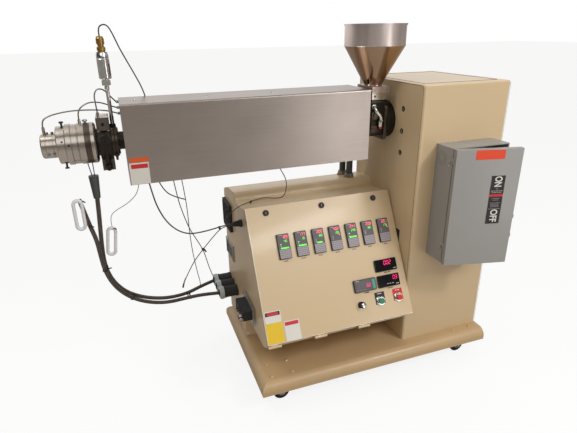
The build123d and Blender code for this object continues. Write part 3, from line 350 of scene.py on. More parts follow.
def sweep(bm, points, radius, sides, closed=False):
    """Adds a tube round points in metres, with UVs that run round and along it."""
    uv_layer = bm.loops.layers.uv.verify()
    count = len(points)
    tangents = []
    for k in range(count):
        before = points[k - 1] if closed or k else points[0]
        after = points[(k + 1) % count] if closed or k < count - 1 else points[-1]
        tangents.append((after - before).normalized())
    side = tangents[0].orthogonal().normalized()
    rings, travelled = [], [0.0]
    for k, (point, tangent) in enumerate(zip(points, tangents)):
        side = (side - tangent * side.dot(tangent)).normalized()
        other = tangent.cross(side)
        rings.append([bm.verts.new(point + side * x + other * y)
                      for x, y in ring_points(radius, sides)])
        if k:
            travelled.append(travelled[-1] + (point - points[k - 1]).length)
    if closed:
        rings.append(rings[0])
        travelled.append(travelled[-1] + (points[0] - points[-1]).length)
    for k, (low, high) in enumerate(zip(rings, rings[1:])):
        for s, face in enumerate(join(bm, low, high)):
            marks = ((s, k), (s + 1, k), (s + 1, k + 1), (s, k + 1))
            for loop, (across, along) in zip(face.loops, marks):
                loop[uv_layer].uv = (across / sides, travelled[along] / (math.tau * radius))
    if not closed:
        bm.faces.new(rings[0][::-1])
        bm.faces.new(rings[-1])


def wire(bm, points, radius, sides=6, closed=False):
    """Adds a tube round points in millimetres."""
    sweep(bm, [Vector(point) * MM for point in points], radius * MM, sides, closed)


def wire_ring(bm, where, radius, thick, sides=6, count=48, stretch=(1, 1)):
    """Adds a bent ring of wire that lies on a place."""
    sweep(bm, [where @ Vector((x * stretch[0], y * stretch[1], 0))
               for x, y in ring_points(radius, count)], thick * MM, sides, closed=True)


SEGMENTS = {"0": "abcdef", "1": "bc", "2": "abged", "3": "abgcd", "4": "fgbc", "5": "afgcd",
            "6": "afgedc", "7": "abc", "8": "abcdefg", "9": "abcfgd"}
SEGMENT_SPOTS = {"a": (0, 0.5, 1), "g": (0, 0, 1), "d": (0, -0.5, 1), "f": (-0.5, 0.25, 0),
                 "b": (0.5, 0.25, 0), "e": (-0.5, -0.25, 0), "c": (0.5, -0.25, 0)}
DIGIT_LEAN = 0.12


def digits(bm, where, text, height, middle, low):
    """Adds lit seven-segment digits, centred on a point of a place."""
    width, thin = height * 0.5, height * 0.08
    pitch = width + height * 0.24
    for number, figure in enumerate(text):
        for side, level, flat in (SEGMENT_SPOTS[segment] for segment in SEGMENTS[figure]):
            spot_x = (number - (len(text) - 1) / 2) * pitch + side * width
            spot_y = level * height
            half = (width if flat else height / 2) / 2 - thin * 0.7
            shape = [(-half, 0), (-half + thin, -thin), (half - thin, -thin), (half, 0),
                     (half - thin, thin), (-half + thin, thin)]
            if not flat:
                shape = [(-y + DIGIT_LEAN * x, x) for x, y in shape]
            prism(bm, where, [(middle[0] + spot_x + DIGIT_LEAN * spot_y + x,
                               middle[1] + spot_y + y) for x, y in shape], low, low + 0.5)


def dashes(bm, where, widths, height, middle, low=0.0):
    """Adds a short row of strokes, where the photograph has print too small to read."""
    start = middle[0] - (sum(widths) + height * 0.6 * (len(widths) - 1)) / 2
    for width in widths:
        prism(bm, where, [(start, middle[1]), (start + width, middle[1]),
                          (start + width, middle[1] + height), (start, middle[1] + height)],
              low, low + 0.3)
        start += width + height * 0.6


def tie(bm, first, second, along, radius, width, tail=True):
    """Adds a flat band round two cables that lie side by side, or round one."""
    start, end = Vector(first), Vector(second)
    axis = Vector(along).normalized()
    gap = end - start
    gap -= axis * gap.dot(axis)
    side = gap.normalized() if gap.length > 0.5 else axis.orthogonal().normalized()
    where = place((start + end) / 2, side, axis)
    half, level = gap.length / 2, width / 2
    rings = [ring_at(bm, where, stadium(half, reach, -90, 12), height)
             for reach, height in ((radius, -level), (radius + 1.3, -level),
                                   (radius + 1.3, level), (radius, level))]
    for low, high in zip(rings, rings[1:] + rings[:1]):
        join(bm, low, high)
    if tail:
        bar(bm, where, 6.5, 4.5, -level - 0.6, level + 0.6, 0.8, (half * 0.4, -radius - 2.6))
        bar(bm, where, 1.4, 12, -level, level, 0.5, (half * 0.4, -radius - 10))


# Pieces


def show(name, data, finish, body="machine", slot=None):
    """Shows a mesh or a curve as a piece that rides on a body."""
    data.materials.append(bpy.data.materials[finish])
    thing = bpy.data.objects.new(name, data)
    bpy.context.scene.collection.objects.link(thing)
    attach(thing, body)
    return thing


class Piece:
    """Gives a with block an empty bmesh, and shows it as a piece when the block ends."""

    def __init__(self, name, finish, slot=None, body="machine", smooth=40.0, stands_for=None):
        self.name, self.looks, self.smooth = name, (finish, body, slot), smooth
        self.stands_for = stands_for
        self.bm = bmesh.new()

    def __enter__(self):
        return self.bm

    def __exit__(self, error, *details):
        if error:
            return
        bmesh.ops.recalc_face_normals(self.bm, faces=self.bm.faces)
        mesh = bpy.data.meshes.new(self.name)
        self.bm.to_mesh(mesh)
        self.bm.free()
        mesh.polygons.foreach_set("use_smooth", [True] * len(mesh.polygons))
        mesh.set_sharp_from_angle(angle=math.radians(self.smooth))
        thing = show(self.name, mesh, *self.looks)
        if self.stands_for:
            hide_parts(self.stands_for)


def plates(name, finish, slot, body, *bars):
    """A piece of flat bars, each given as a place and what bar() takes after it."""
    with Piece(name, finish, slot, body) as bm:
        for where, *measures in bars:
            bar(bm, where, *measures)


# Cord routes, the same points as in the part's source
ROUTES = {
    "transducer_lead": [
        (-600, 55.25, 1368), (-601, 55.5, 1389), (-589, 57, 1401), (-572, 62, 1399),
        (-559, 71, 1371), (-547, 85.5, 1334.5), (-529, 103.5, 1293.5), (-507, 127.5, 1245),
        (-484, 155.5, 1190), (-473, 177, 1134), (-473, 186, 1100), (-473, 156.75, 1090)],
    "probe_lead_front": [
        (-808, 55.25, 1101), (-808, 55.5, 1122), (-786, 60, 1134), (-755, 67, 1140.5),
        (-722, 75, 1143.5), (-686, 83, 1143), (-646, 92, 1140), (-604, 107, 1132),
        (-579, 127.25, 1119)],
    "probe_lead_middle": [
        (-699.5, 55.25, 1118), (-700, 55.5, 1138), (-688, 59, 1157), (-662, 66, 1169),
        (-632, 78, 1166), (-606, 95, 1154), (-588, 115, 1143), (-579, 127.25, 1138.5)],
    "probe_lead_rear": [
        (-641, 55.25, 1137), (-642, 55.5, 1164), (-643, 57, 1192), (-632, 61, 1210),
        (-613, 70, 1207), (-600, 86, 1189), (-589, 106, 1173), (-579, 127.25, 1158)],
    "heater_cable_upper": [
        (-685, 55.25, 849), (-689.5, 60.5, 773.5), (-698, 70.5, 670.5), (-701, 83.5, 584),
        (-689, 103.5, 510), (-661, 127.5, 447), (-622.5, 153.5, 396), (-561, 183.5, 348.5),
        (-483, 215.5, 313), (-397.5, 247.5, 300), (-327, 291, 300), (-260.5, 333.25, 292)],
    "heater_cable_lower": [
        (-741.5, 39, 855), (-733, 39.5, 810), (-723, 41.5, 756), (-709.5, 45.5, 695),
        (-706.5, 53.5, 627.5), (-702.5, 67.5, 565), (-687, 87.5, 498.5), (-659, 111.5, 438),
        (-619.5, 137.5, 385), (-561, 167.5, 336.5), (-488, 197.5, 302), (-402, 223.5, 292),
        (-330.5, 221, 295), (-260.5, 212.25, 292)],
    "gland_wire": [
        (-512.5, -30.25, 911.5), (-506, -24.5, 869.5), (-495, -14.5, 813.5), (-470.5, -2.5, 751),
        (-435, 9.5, 704.5), (-392, 21.5, 678), (-345.5, 33.5, 673), (-297.5, 45.5, 673.5),
        (-252, 55.5, 677.5), (-214.5, 58.25, 678.5)],
    "short_wire": [
        (-481, -30.25, 911.5), (-470, -29, 880.5), (-443, -34, 851), (-399, -36.5, 835)],
    "probe_wire": [
        (-432, -30.25, 911.5), (-425.5, -12.5, 862.5), (-416, 3.5, 804), (-402, 21.5, 748),
        (-386.5, 39.5, 694), (-368, 57.5, 649.5), (-347, 79.5, 602.5), (-330.5, 105.5, 556.5),
        (-318, 137.5, 507.5), (-306, 173.5, 456.5), (-293.5, 211.5, 412.5),
        (-281, 251.5, 370.5), (-270.5, 287.5, 337.5), (-260.5, 319.25, 307)],
    "loose_wire": [
        (-214.5, 54.75, 672), (-242, 47.5, 677.5), (-270.5, 44.5, 670), (-304, 46.5, 636),
        (-340, 46.5, 597), (-378, 48.5, 552), (-404, 51.5, 505.5), (-423, 53.5, 468.5),
        (-431, 55.5, 442)],
    "cable_wire": [
        (-404.5, -30.25, 911.5), (-398, -18, 855), (-392, 5.5, 800), (-388, 27.5, 743),
        (-385.5, 51.5, 683), (-381, 75.5, 624), (-374.5, 103.5, 562), (-366, 133, 505),
        (-357, 168, 448), (-347, 210, 394), (-337, 251, 346), (-334, 276, 310)],
    "cabinet_wire": [
        (-214.5, 62.25, 673), (-229.5, 65.5, 674.5), (-244.5, 71.5, 690.5), (-222.5, 69.5, 719),
        (-186, 65.5, 744.5), (-151.5, 89.5, 743.5), (-122, 107.5, 743.5), (-87.5, 124.5, 743.5),
        (-57.5, 125.5, 743.5), (-25, 101.5, 743.5), (2.5, 77.5, 752.5), (6, 49.5, 803),
        (-6.5, 21.5, 845), (-29, -5.5, 881), (-51, -30.25, 911.5)],
    "tag_wire": [
        (-544, -30.25, 911.5), (-550, -13, 876.5), (-570, 7.5, 846), (-597.5, 27.5, 820),
        (-625, 45.5, 801.5), (-647.5, 59.5, 782), (-655, 64.5, 757.5), (-653.5, 65.25, 732.5)],
}
# Diameter, length, far end, lay, stiffness, finish and slot of the leads and wires
LEAD = (4.4, "object", "hanging", "stiff", "probe_braid", "steel_braid")
SHEATH = ("dark_sheath", "wire_sheath")
LEADS = {
    "transducer_lead": (419.7, 4.4, "object", "hanging", "medium", *SHEATH),
    "probe_lead_front": (268.4, *LEAD),
    "probe_lead_middle": (181.7, *LEAD),
    "probe_lead_rear": (177.3, *LEAD),
    "gland_wire": (461.0, 5.0, "object", "hanging", "medium", *SHEATH),
    "short_wire": (118.9, 4.0, "bare", "hanging", "stiff", *SHEATH),
    "probe_wire": (733.1, 3.4, "object", "hanging", "medium", *SHEATH),
    "loose_wire": (339.7, 3.4, "bare", "hanging", "stiff", *SHEATH),
    "cable_wire": (685.2, 3.0, "bare", "hanging", "medium", *SHEATH),
    "cabinet_wire": (535.1, 3.4, "object", "loose", "medium", *SHEATH),
    "tag_wire": (244.3, 2.6, "object", "hanging", "limp", "pale_sheath", "wire_sheath"),
}
CARRIED = {"tag_wire": ["lower_link_clip"], "loose_wire": ["loose_wire_sleeve", "loose_wire_tip"]}


def spline_of(name, radius=0.0):
    """One smooth line through a route, as a curve, with a round section if asked."""
    curve = bpy.data.curves.new(name, "CURVE")
    curve.dimensions = "3D"
    curve.resolution_u = 16
    curve.bevel_depth = radius * MM
    curve.bevel_resolution = 4
    curve.use_fill_caps = True
    spline = curve.splines.new("NURBS")
    spline.points.add(len(ROUTES[name]) - 1)
    for point, (x, y, z) in zip(spline.points, ROUTES[name]):
        point.co = (x * MM, y * MM, z * MM, 1)
    spline.order_u = 3
    spline.use_endpoint_u = True
    return curve


def points_along(name):
    """The points of a route's smooth line, in metres."""
    line = bpy.data.objects.new(name, spline_of(name))
    bpy.context.scene.collection.objects.link(line)
    bpy.context.view_layer.update()
    mesh = bpy.data.meshes.new_from_object(line)
    points = [vertex.co.copy() for vertex in mesh.vertices]
    bpy.data.curves.remove(line.data)
    bpy.data.meshes.remove(mesh)
    return points


# Node groups and finishes


class Nodes:
    """Adds nodes to one tree. Each input takes a value or another node's socket."""

    def __init__(self, tree, sink=None):
        self.tree, self.sink = tree, sink

    def feed(self, socket, value):
        if isinstance(value, bpy.types.NodeSocket):
            self.tree.links.new(value, socket)
        else:
            is_colour = socket.type == "RGBA"
            socket.default_value = (*value, 1) if is_colour and len(value) == 3 else value

    def add(self, kind, options=None, inputs=None):
        node = self.tree.nodes.new("ShaderNode" + kind)
        for key, value in (options or {}).items():
            setattr(node, key, value)
        for key, value in (inputs or {}).items():
            self.feed(node.inputs[key], value)
        return node.outputs

    def fill(self, values):
        """Feeds the group's outputs, or the shader of a finish."""
        for key, value in values.items():
            self.feed(self.sink[key], value)

    def maths(self, operation, first, second=0.0):
        return self.add("Math", {"operation": operation}, {0: first, 1: second})[0]

    def times(self, first, *others):
        for other in others:
            first = self.maths("MULTIPLY", first, other)
        return first

    def larger(self, first, second):
        return self.maths("MAXIMUM", first, second)

    def mix(self, share, first, second, blend="MIX"):
        return self.add("Mix", {"data_type": "RGBA", "blend_type": blend},
                        {0: share, 6: first, 7: second})[2]

    def spot(self, kind="Object"):
        return self.add("TexCoord")[kind]

    def noise(self, scale, detail=2.0, vector=None, roughness=0.5):
        inputs = {"Scale": scale, "Detail": detail, "Roughness": roughness}
        if vector:
            inputs["Vector"] = vector
        return self.add("TexNoise", {}, inputs)["Fac"]

    def bump(self, height, strength, distance):
        return self.add("Bump", {}, {"Strength": strength, "Distance": distance,
                                     "Height": height})[0]

    def group(self, name, inputs):
        node = self.tree.nodes.new("ShaderNodeGroup")
        node.node_tree = bpy.data.node_groups[name]
        for key, value in inputs.items():
            self.feed(node.inputs[key], value)
        return node.outputs

    def swing(self, base, change, spread):
        """A value that moves about its base as a noise does about its middle."""
        swing = self.times(self.maths("SUBTRACT", change, 0.5), spread)
        return self.maths("ADD", swing, base)


def new_group(name, inputs, outputs):
    """An empty shader group with named sockets, as its nodes and its inputs."""
    tree = bpy.data.node_groups.new(name, "ShaderNodeTree")
    for label, default in inputs.items():
        kind = ("Vector" if isinstance(default, Vector) else
                "Color" if isinstance(default, tuple) else "Float")
        socket = tree.interface.new_socket(label, in_out="INPUT", socket_type="NodeSocket" + kind)
        socket.default_value = (*default, 1) if kind == "Color" else default
    for label in outputs:
        kind = "Color" if label == "Colour" else "Float"
        tree.interface.new_socket(label, in_out="OUTPUT", socket_type="NodeSocket" + kind)
    given = tree.nodes.new("NodeGroupInput").outputs
    return Nodes(tree, tree.nodes.new("NodeGroupOutput").inputs), given


def mottle_group():
    """Slow and fine changes of colour, roughness and height, as on sprayed or moulded skins."""
    nodes, given = new_group(
        "Mottled Skin",
        {"Colour": (0.5, 0.5, 0.5), "Dirt": (0.2, 0.15, 0.1), "Grain Size": 400.0,
         "Cloud Size": 5.0, "Variation": 0.08, "Roughness": 0.4, "Spread": 0.1},
        ("Colour", "Roughness", "Height"))
    spot = nodes.spot()
    cloud = nodes.noise(given["Cloud Size"], 4.0, spot, 0.6)
    nodes.fill({
        "Colour": nodes.mix(nodes.times(cloud, given["Variation"]), given["Colour"],
                            given["Dirt"]),
        "Roughness": nodes.swing(given["Roughness"], cloud, given["Spread"]),
        "Height": nodes.noise(given["Grain Size"], 2.0, spot)})


def brushed_group():
    """Fine parallel scratches. Stretch is how fast they change along each axis of the object."""
    nodes, given = new_group(
        "Brushed Lines",
        {"Colour": (0.6, 0.6, 0.6), "Shade": (0.3, 0.28, 0.26),
         "Stretch": Vector((4.0, 500.0, 500.0)), "Contrast": 0.3, "Roughness": 0.3,
         "Spread": 0.15},
        ("Colour", "Roughness", "Height"))
    spot = nodes.spot()
    drawn = nodes.add("VectorMath", {"operation": "MULTIPLY"}, {0: spot, 1: given["Stretch"]})[0]
    lines = nodes.noise(1.0, 3.0, drawn, 0.7)
    share = nodes.times(lines, nodes.noise(7.0, 2.0, spot), 3.0, given["Contrast"])
    nodes.fill({"Colour": nodes.mix(share, given["Colour"], given["Shade"]),
                "Roughness": nodes.swing(given["Roughness"], lines, given["Spread"]),
                "Height": lines})


def edge_wear_and_highlight_group():
    """A mask that is 1 at an outer edge and 0 on a flat face, broken up by noise, that lightens
    edges as wear and as a painted highlight.
    """
    nodes, given = new_group("Edge Wear", {"Radius": 0.002, "Amount": 1.0}, ("Mask",))
    bent = nodes.add("Bevel", {"samples": 4}, {"Radius": given["Radius"]})[0]
    flat = nodes.add("NewGeometry")["Normal"]
    agree = nodes.add("VectorMath", {"operation": "DOT_PRODUCT"}, {0: bent, 1: flat})["Value"]
    wear_and_highlight = nodes.times(nodes.maths("SUBTRACT", 1.0, agree), 8.0,
                       nodes.noise(60.0, 4.0, nodes.spot()), given["Amount"])
    nodes.fill({"Mask": nodes.add("Clamp", {}, {"Value": wear_and_highlight})[0]})


def braid_group():
    """Two sets of strand bundles that cross over and under, from the UVs of a tube."""
    nodes, given = new_group(
        "Crossed Braid",
        {"Colour": (0.5, 0.48, 0.45), "Gap": (0.05, 0.045, 0.04), "Strands": 16.0},
        ("Colour", "Height"))
    parts = nodes.add("SeparateXYZ", {}, {0: nodes.spot("UV")})
    waves = []
    for sign in (1.0, -1.0):
        slant = nodes.maths("ADD", parts[0], nodes.times(parts[1], sign))
        waves.append(nodes.maths("SINE", nodes.times(slant, given["Strands"], math.pi)))
    over = nodes.maths("GREATER_THAN", nodes.times(*waves), 0.0)
    first, second = [nodes.maths("ABSOLUTE", wave) for wave in waves]
    height = nodes.maths("ADD", nodes.times(first, over),
                         nodes.times(second, nodes.maths("SUBTRACT", 1.0, over)))
    nodes.fill({"Colour": nodes.mix(height, given["Gap"], given["Colour"]), "Height": height})


def new_finish(name, constants):
    """A material with one Principled shader whose plain numbers are set on its own sockets."""
    material = bpy.data.materials.new(name)
    material.use_nodes = True
    nodes = Nodes(material.node_tree, material.node_tree.nodes["Principled BSDF"].inputs)
    nodes.fill(constants)
    return nodes


def times_shade(shade, share, lift=0.0):
    return tuple(min(1, channel * share + lift) for channel in shade)


def enamel(name, shade, roughness, coat, peel=0.02, dirt=0.10):
    """Sprayed paint: a soft orange peel, faint clouds, and edges made lighter for wear and as a
    painted highlight.
    """
    nodes = new_finish(name, {"Coat Weight": coat, "Coat Roughness": 0.12})
    skin = nodes.group("Mottled Skin", {
        "Colour": shade, "Dirt": times_shade(shade, 0.55), "Variation": dirt,
        "Grain Size": 260.0, "Cloud Size": 3.5, "Roughness": roughness, "Spread": 0.12})
    wear_and_highlight = nodes.group("Edge Wear", {"Radius": 0.0022, "Amount": 0.5})["Mask"]
    nodes.fill({"Base Color": nodes.mix(wear_and_highlight, skin["Colour"], times_shade(shade, 1.25)),
                "Roughness": skin["Roughness"],
                "Normal": nodes.bump(skin["Height"], peel, 0.001)})


def brushed(name, shade, shadow, stretch, roughness, contrast=0.35):
    """Bare metal with scratches along one direction."""
    nodes = new_finish(name, {"Metallic": 1.0})
    lines = nodes.group("Brushed Lines", {
        "Colour": shade, "Shade": shadow, "Stretch": stretch, "Roughness": roughness,
        "Contrast": contrast, "Spread": 0.15})
    nodes.fill({"Base Color": lines["Colour"], "Roughness": lines["Roughness"],
                "Normal": nodes.bump(lines["Height"], 0.04, 0.0005)})


def skinned(name, shade, roughness, grain=500.0, variation=0.2, depth=0.1, wear_and_highlight=0.0,
            metallic=0.0):
    """Moulded, cast or blackened skin with a fine grain."""
    nodes = new_finish(name, {"Metallic": metallic})
    skin = nodes.group("Mottled Skin", {
        "Colour": shade, "Dirt": times_shade(shade, 0.5), "Variation": variation,
        "Grain Size": grain, "Cloud Size": 14.0, "Roughness": roughness, "Spread": 0.15})
    surface = skin["Colour"]
    # Edges made lighter for wear and as a painted highlight
    if wear_and_highlight:
        mask = nodes.group("Edge Wear", {"Radius": 0.0015, "Amount": wear_and_highlight})["Mask"]
        surface = nodes.mix(mask, surface, times_shade(shade, 2.2, 0.02))
    nodes.fill({"Base Color": surface, "Roughness": skin["Roughness"],
                "Normal": nodes.bump(skin["Height"], depth, 0.0006)})


def glowing(name, shade, strength):
    """Lit segments of a display, a little uneven across each digit."""
    nodes = new_finish(name, {"Roughness": 0.5, "Emission Strength": strength})
    skin = nodes.group("Mottled Skin", {
        "Colour": shade, "Dirt": times_shade(shade, 0.7), "Variation": 0.4, "Cloud Size": 300.0})
    nodes.fill({"Emission Color": skin["Colour"], "Base Color": skin["Colour"]})


def clear_finish():
    """Pale clear plastic with faint ripples."""
    nodes = new_finish("clear_plastic", {"Transmission Weight": 0.75, "IOR": 1.46,
                                         "Base Color": (0.86, 0.87, 0.88), "Roughness": 0.12})
    skin = nodes.group("Mottled Skin", {"Grain Size": 90.0})
    nodes.fill({"Normal": nodes.bump(skin["Height"], 0.15, 0.001)})


def hopper_steel():
    """Spun sheet: a brushed cylinder above a polished cone, told apart by their height. The cone's
    colour is darkened to a warm brown as a painted reflection of the beige cabinets.
    """
    cone_top = 1.318
    nodes = new_finish("spun_steel", {"Metallic": 1.0})
    lines = nodes.group("Brushed Lines", {
        "Colour": tint(236, 222, 216), "Shade": tint(160, 146, 138), "Stretch": (6.0, 6.0, 700.0),
        "Roughness": 0.30, "Contrast": 0.22, "Spread": 0.12})
    height = nodes.add("SeparateXYZ", {}, {0: nodes.spot()})[2]
    cone = nodes.maths("SUBTRACT", 1.0, nodes.maths("GREATER_THAN", height, cone_top))
    nodes.fill({
        # A warm brown on the cone: painted reflection of the beige cabinets
        "Base Color": nodes.mix(cone, lines["Colour"], tint(186, 166, 142), "MULTIPLY"),
        "Roughness": nodes.maths("SUBTRACT", lines["Roughness"], nodes.times(cone, 0.16)),
        "Normal": nodes.bump(lines["Height"], 0.03, 0.0005)})


def braided(name, shade, strands):
    nodes = new_finish(name, {"Metallic": 0.6, "Roughness": 0.4})
    braid = nodes.group("Crossed Braid", {
        "Colour": shade, "Gap": times_shade(shade, 0.3), "Strands": float(strands)})
    nodes.fill({"Base Color": braid["Colour"],
                "Normal": nodes.bump(braid["Height"], 0.9, 0.0008)})


# Colour, shade of the scratches, stretch, roughness and contrast
BRUSHED = {
    "dark_band": ((120, 110, 100), (50, 44, 38), (700.0, 12.0, 12.0), 0.3, 0.6),
    "pink_steel": ((196, 176, 168), (120, 104, 98), (5.0, 400.0, 400.0), 0.38),
    "zinc": ((178, 178, 174), (96, 96, 92), (60.0, 60.0, 60.0), 0.38),
    "chrome": ((226, 226, 224), (170, 170, 168), (40.0, 40.0, 40.0), 0.14),
    "brass": ((196, 160, 96), (96, 66, 32), (50.0, 50.0, 500.0), 0.3),
    "worn_steel": ((128, 121, 113), (56, 51, 46), (90.0, 90.0, 300.0), 0.42, 0.6),
    "gunmetal": ((92, 83, 72), (34, 30, 26), (500.0, 14.0, 14.0), 0.3, 0.6),
    "probe_braid": ((150, 142, 134), (50, 44, 40), (900.0, 900.0, 900.0), 0.4),
}
# Colour, roughness, grain, variation, depth, and lightening of the edges for wear and as a painted
# highlight
SKINS = {
    "black_plastic": ((30, 29, 29), 0.44, 700.0, 0.2, 0.1, 0.5),
    "grey_plastic": ((74, 78, 78), 0.5, 600.0),
    "green_plastic": ((14, 158, 82), 0.3, 300.0),
    "red_plastic": ((222, 26, 32), 0.3, 300.0),
    "black_rubber": ((38, 38, 38), 0.62, 900.0, 0.2, 0.2),
    "conduit_grey": ((78, 80, 82), 0.5, 700.0),
    "dark_sheath": ((70, 62, 56), 0.5, 700.0),
    "pale_sheath": ((176, 168, 156), 0.5, 700.0),
    "white_card": ((226, 222, 214), 0.5, 500.0, 0.08),
    "orange_card": ((222, 92, 40), 0.5, 500.0, 0.08),
    "red_card": ((204, 44, 52), 0.5, 500.0, 0.08),
    "yellow_card": ((236, 196, 40), 0.5, 500.0, 0.08),
    "orange_red_card": ((232, 70, 34), 0.5, 500.0, 0.08),
    "teal_card": ((66, 160, 138), 0.45),
    # Dark glass of the meters; also painted shade inside holes and slots
    "dark_glass": ((18, 16, 18), 0.12, 200.0, 0.2, 0.01),
    "grey_panel": ((96, 90, 92), 0.5, 600.0),
    # Pale grey of the controller flaps, partly their own colour and partly painted sheen
    "pale_flap": ((158, 150, 156), 0.45, 600.0, 0.1),
    "meter_grey": ((84, 78, 84), 0.4, 600.0, 0.1),
    "grey_ink": ((150, 142, 142), 0.5, 500.0, 0.1),
    "pale_plastic": ((196, 206, 204), 0.42),
    "tan_plastic": ((158, 128, 108), 0.45),
    "brown_panel": ((72, 58, 48), 0.4, 500.0, 0.3),
    # Dark of the seams, and painted shade in the valley strip
    "seam_dark": ((120, 100, 74), 0.6),
    "seal_red": ((168, 92, 66), 0.6),
}
# The finish of each solid that keeps its own shape
CAD_FINISHES = {
    "cabinet_enamel": "drive_cabinet cabinet_ends cabinet_top cabinet_pan pedestal control_door "
                      "door_hinges",
    "base_enamel": "base_frame",
    "cover_sheet": "barrel_cover",
    "turned_steel": "die_body nozzle probe_feet pressure_transducer feed_bar",
    "pink_steel": "feed_plate",
    "black_steel": "adapter_flange head_clamp barrel cover_posts thrust_flange feed_block",
    "spun_steel": "hopper",
    "zinc": "end_plates switch_box_hinges castor_brackets lead_grommets",
    "chrome": "control_bushes",
    "black_plastic": "door_latches controllers meters speed_knob fan_grille round_connectors "
                     "cable_glands jack_block switch_lever",
    "grey_plastic": "heater_plug",
    "green_plastic": "green_button",
    "red_plastic": "red_button",
    "conduit_grey": "conduits",
    "black_rubber": "castor_wheel_front_left castor_wheel_front_right castor_wheel_back_left "
                    "castor_wheel_back_right",
    "box_enamel": "switch_box switch_box_cover",
    "clear_plastic": "cable_links",
}


class ExtruderFinishes(bpy.types.Operator):
    """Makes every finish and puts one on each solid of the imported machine"""
    bl_idname = "extruder.finishes"
    bl_label = "Finishes"

    def execute(self, context):
        colours = context.scene.extruder_colours
        for make_group in (mottle_group, brushed_group, edge_wear_and_highlight_group, braid_group):
            make_group()
        enamel("cabinet_enamel", colours.cabinet, 0.38, 0.24)
        # The cabinets' paint made darker, as painted shade on the base
        enamel("base_enamel", colours.base, 0.42, 0.15, dirt=0.25)
        enamel("box_enamel", colours.switch_box, 0.42, 0.15, peel=0.04)
        # Pale enamel painted as the highlight along the door's edges
        enamel("pale_enamel", tint(238, 230, 214), 0.22, 0.5)
        cover, steel = colours.cover, colours.turned_steel
        brushed("cover_sheet", cover, times_shade(cover, 0.55), (5.0, 600.0, 600.0), 0.36)
        brushed("turned_steel", steel, times_shade(steel, 0.4), (900.0, 12.0, 12.0), 0.24, 0.5)
        for name, (shade, shadow, *rest) in BRUSHED.items():
            brushed(name, tint(*shade), tint(*shadow), *rest)
        for name, (shade, *rest) in SKINS.items():
            skinned(name, tint(*shade), *rest)
        skinned("black_steel", colours.black_steel, 0.42, wear_and_highlight=0.8, metallic=0.85)
        glowing("red_glow", colours.red_digits, 1.3)
        glowing("magenta_glow", colours.meter_digits, 1.0)
        glowing("green_glow", colours.green_digits, 0.9)
        clear_finish()
        hopper_steel()
        braided("cable_braid", colours.braid, context.scene.extruder_sizes.braid_strands)
        chosen = {node: finish for finish, nodes in CAD_FINISHES.items()
                  for node in nodes.split()}
        for node, thing in frame["nodes"].items():
            thing.data.materials.clear()
            thing.data.materials.append(bpy.data.materials[chosen.get(node, "dark_sheath")])
            thing.data.set_sharp_from_angle(angle=math.radians(35))
        return {"FINISHED"}


# Place, target and size of each lamp, in metres
LAMPS = {
    "key": ((2.1, -2.3, 2.9), (0.3, 0.0, 0.7), (0.5, 0.5)),
    "fill": ((-1.3, -2.7, 3.0), (0.1, 0.0, 0.8), (2.2, 2.2)),
    "strip": ((0.82, -2.03, 1.96), (0.0, 0.0, 0.65), (0.95, 0.14)),
    "low": ((1.42, -2.3, 0.62), (0.28, 0.0, 1.04), (0.42, 1.3)),
    "side": ((-1.6, 0.1, 3.2), (0.4, 0.05, 0.95), (0.9, 0.9)),
}


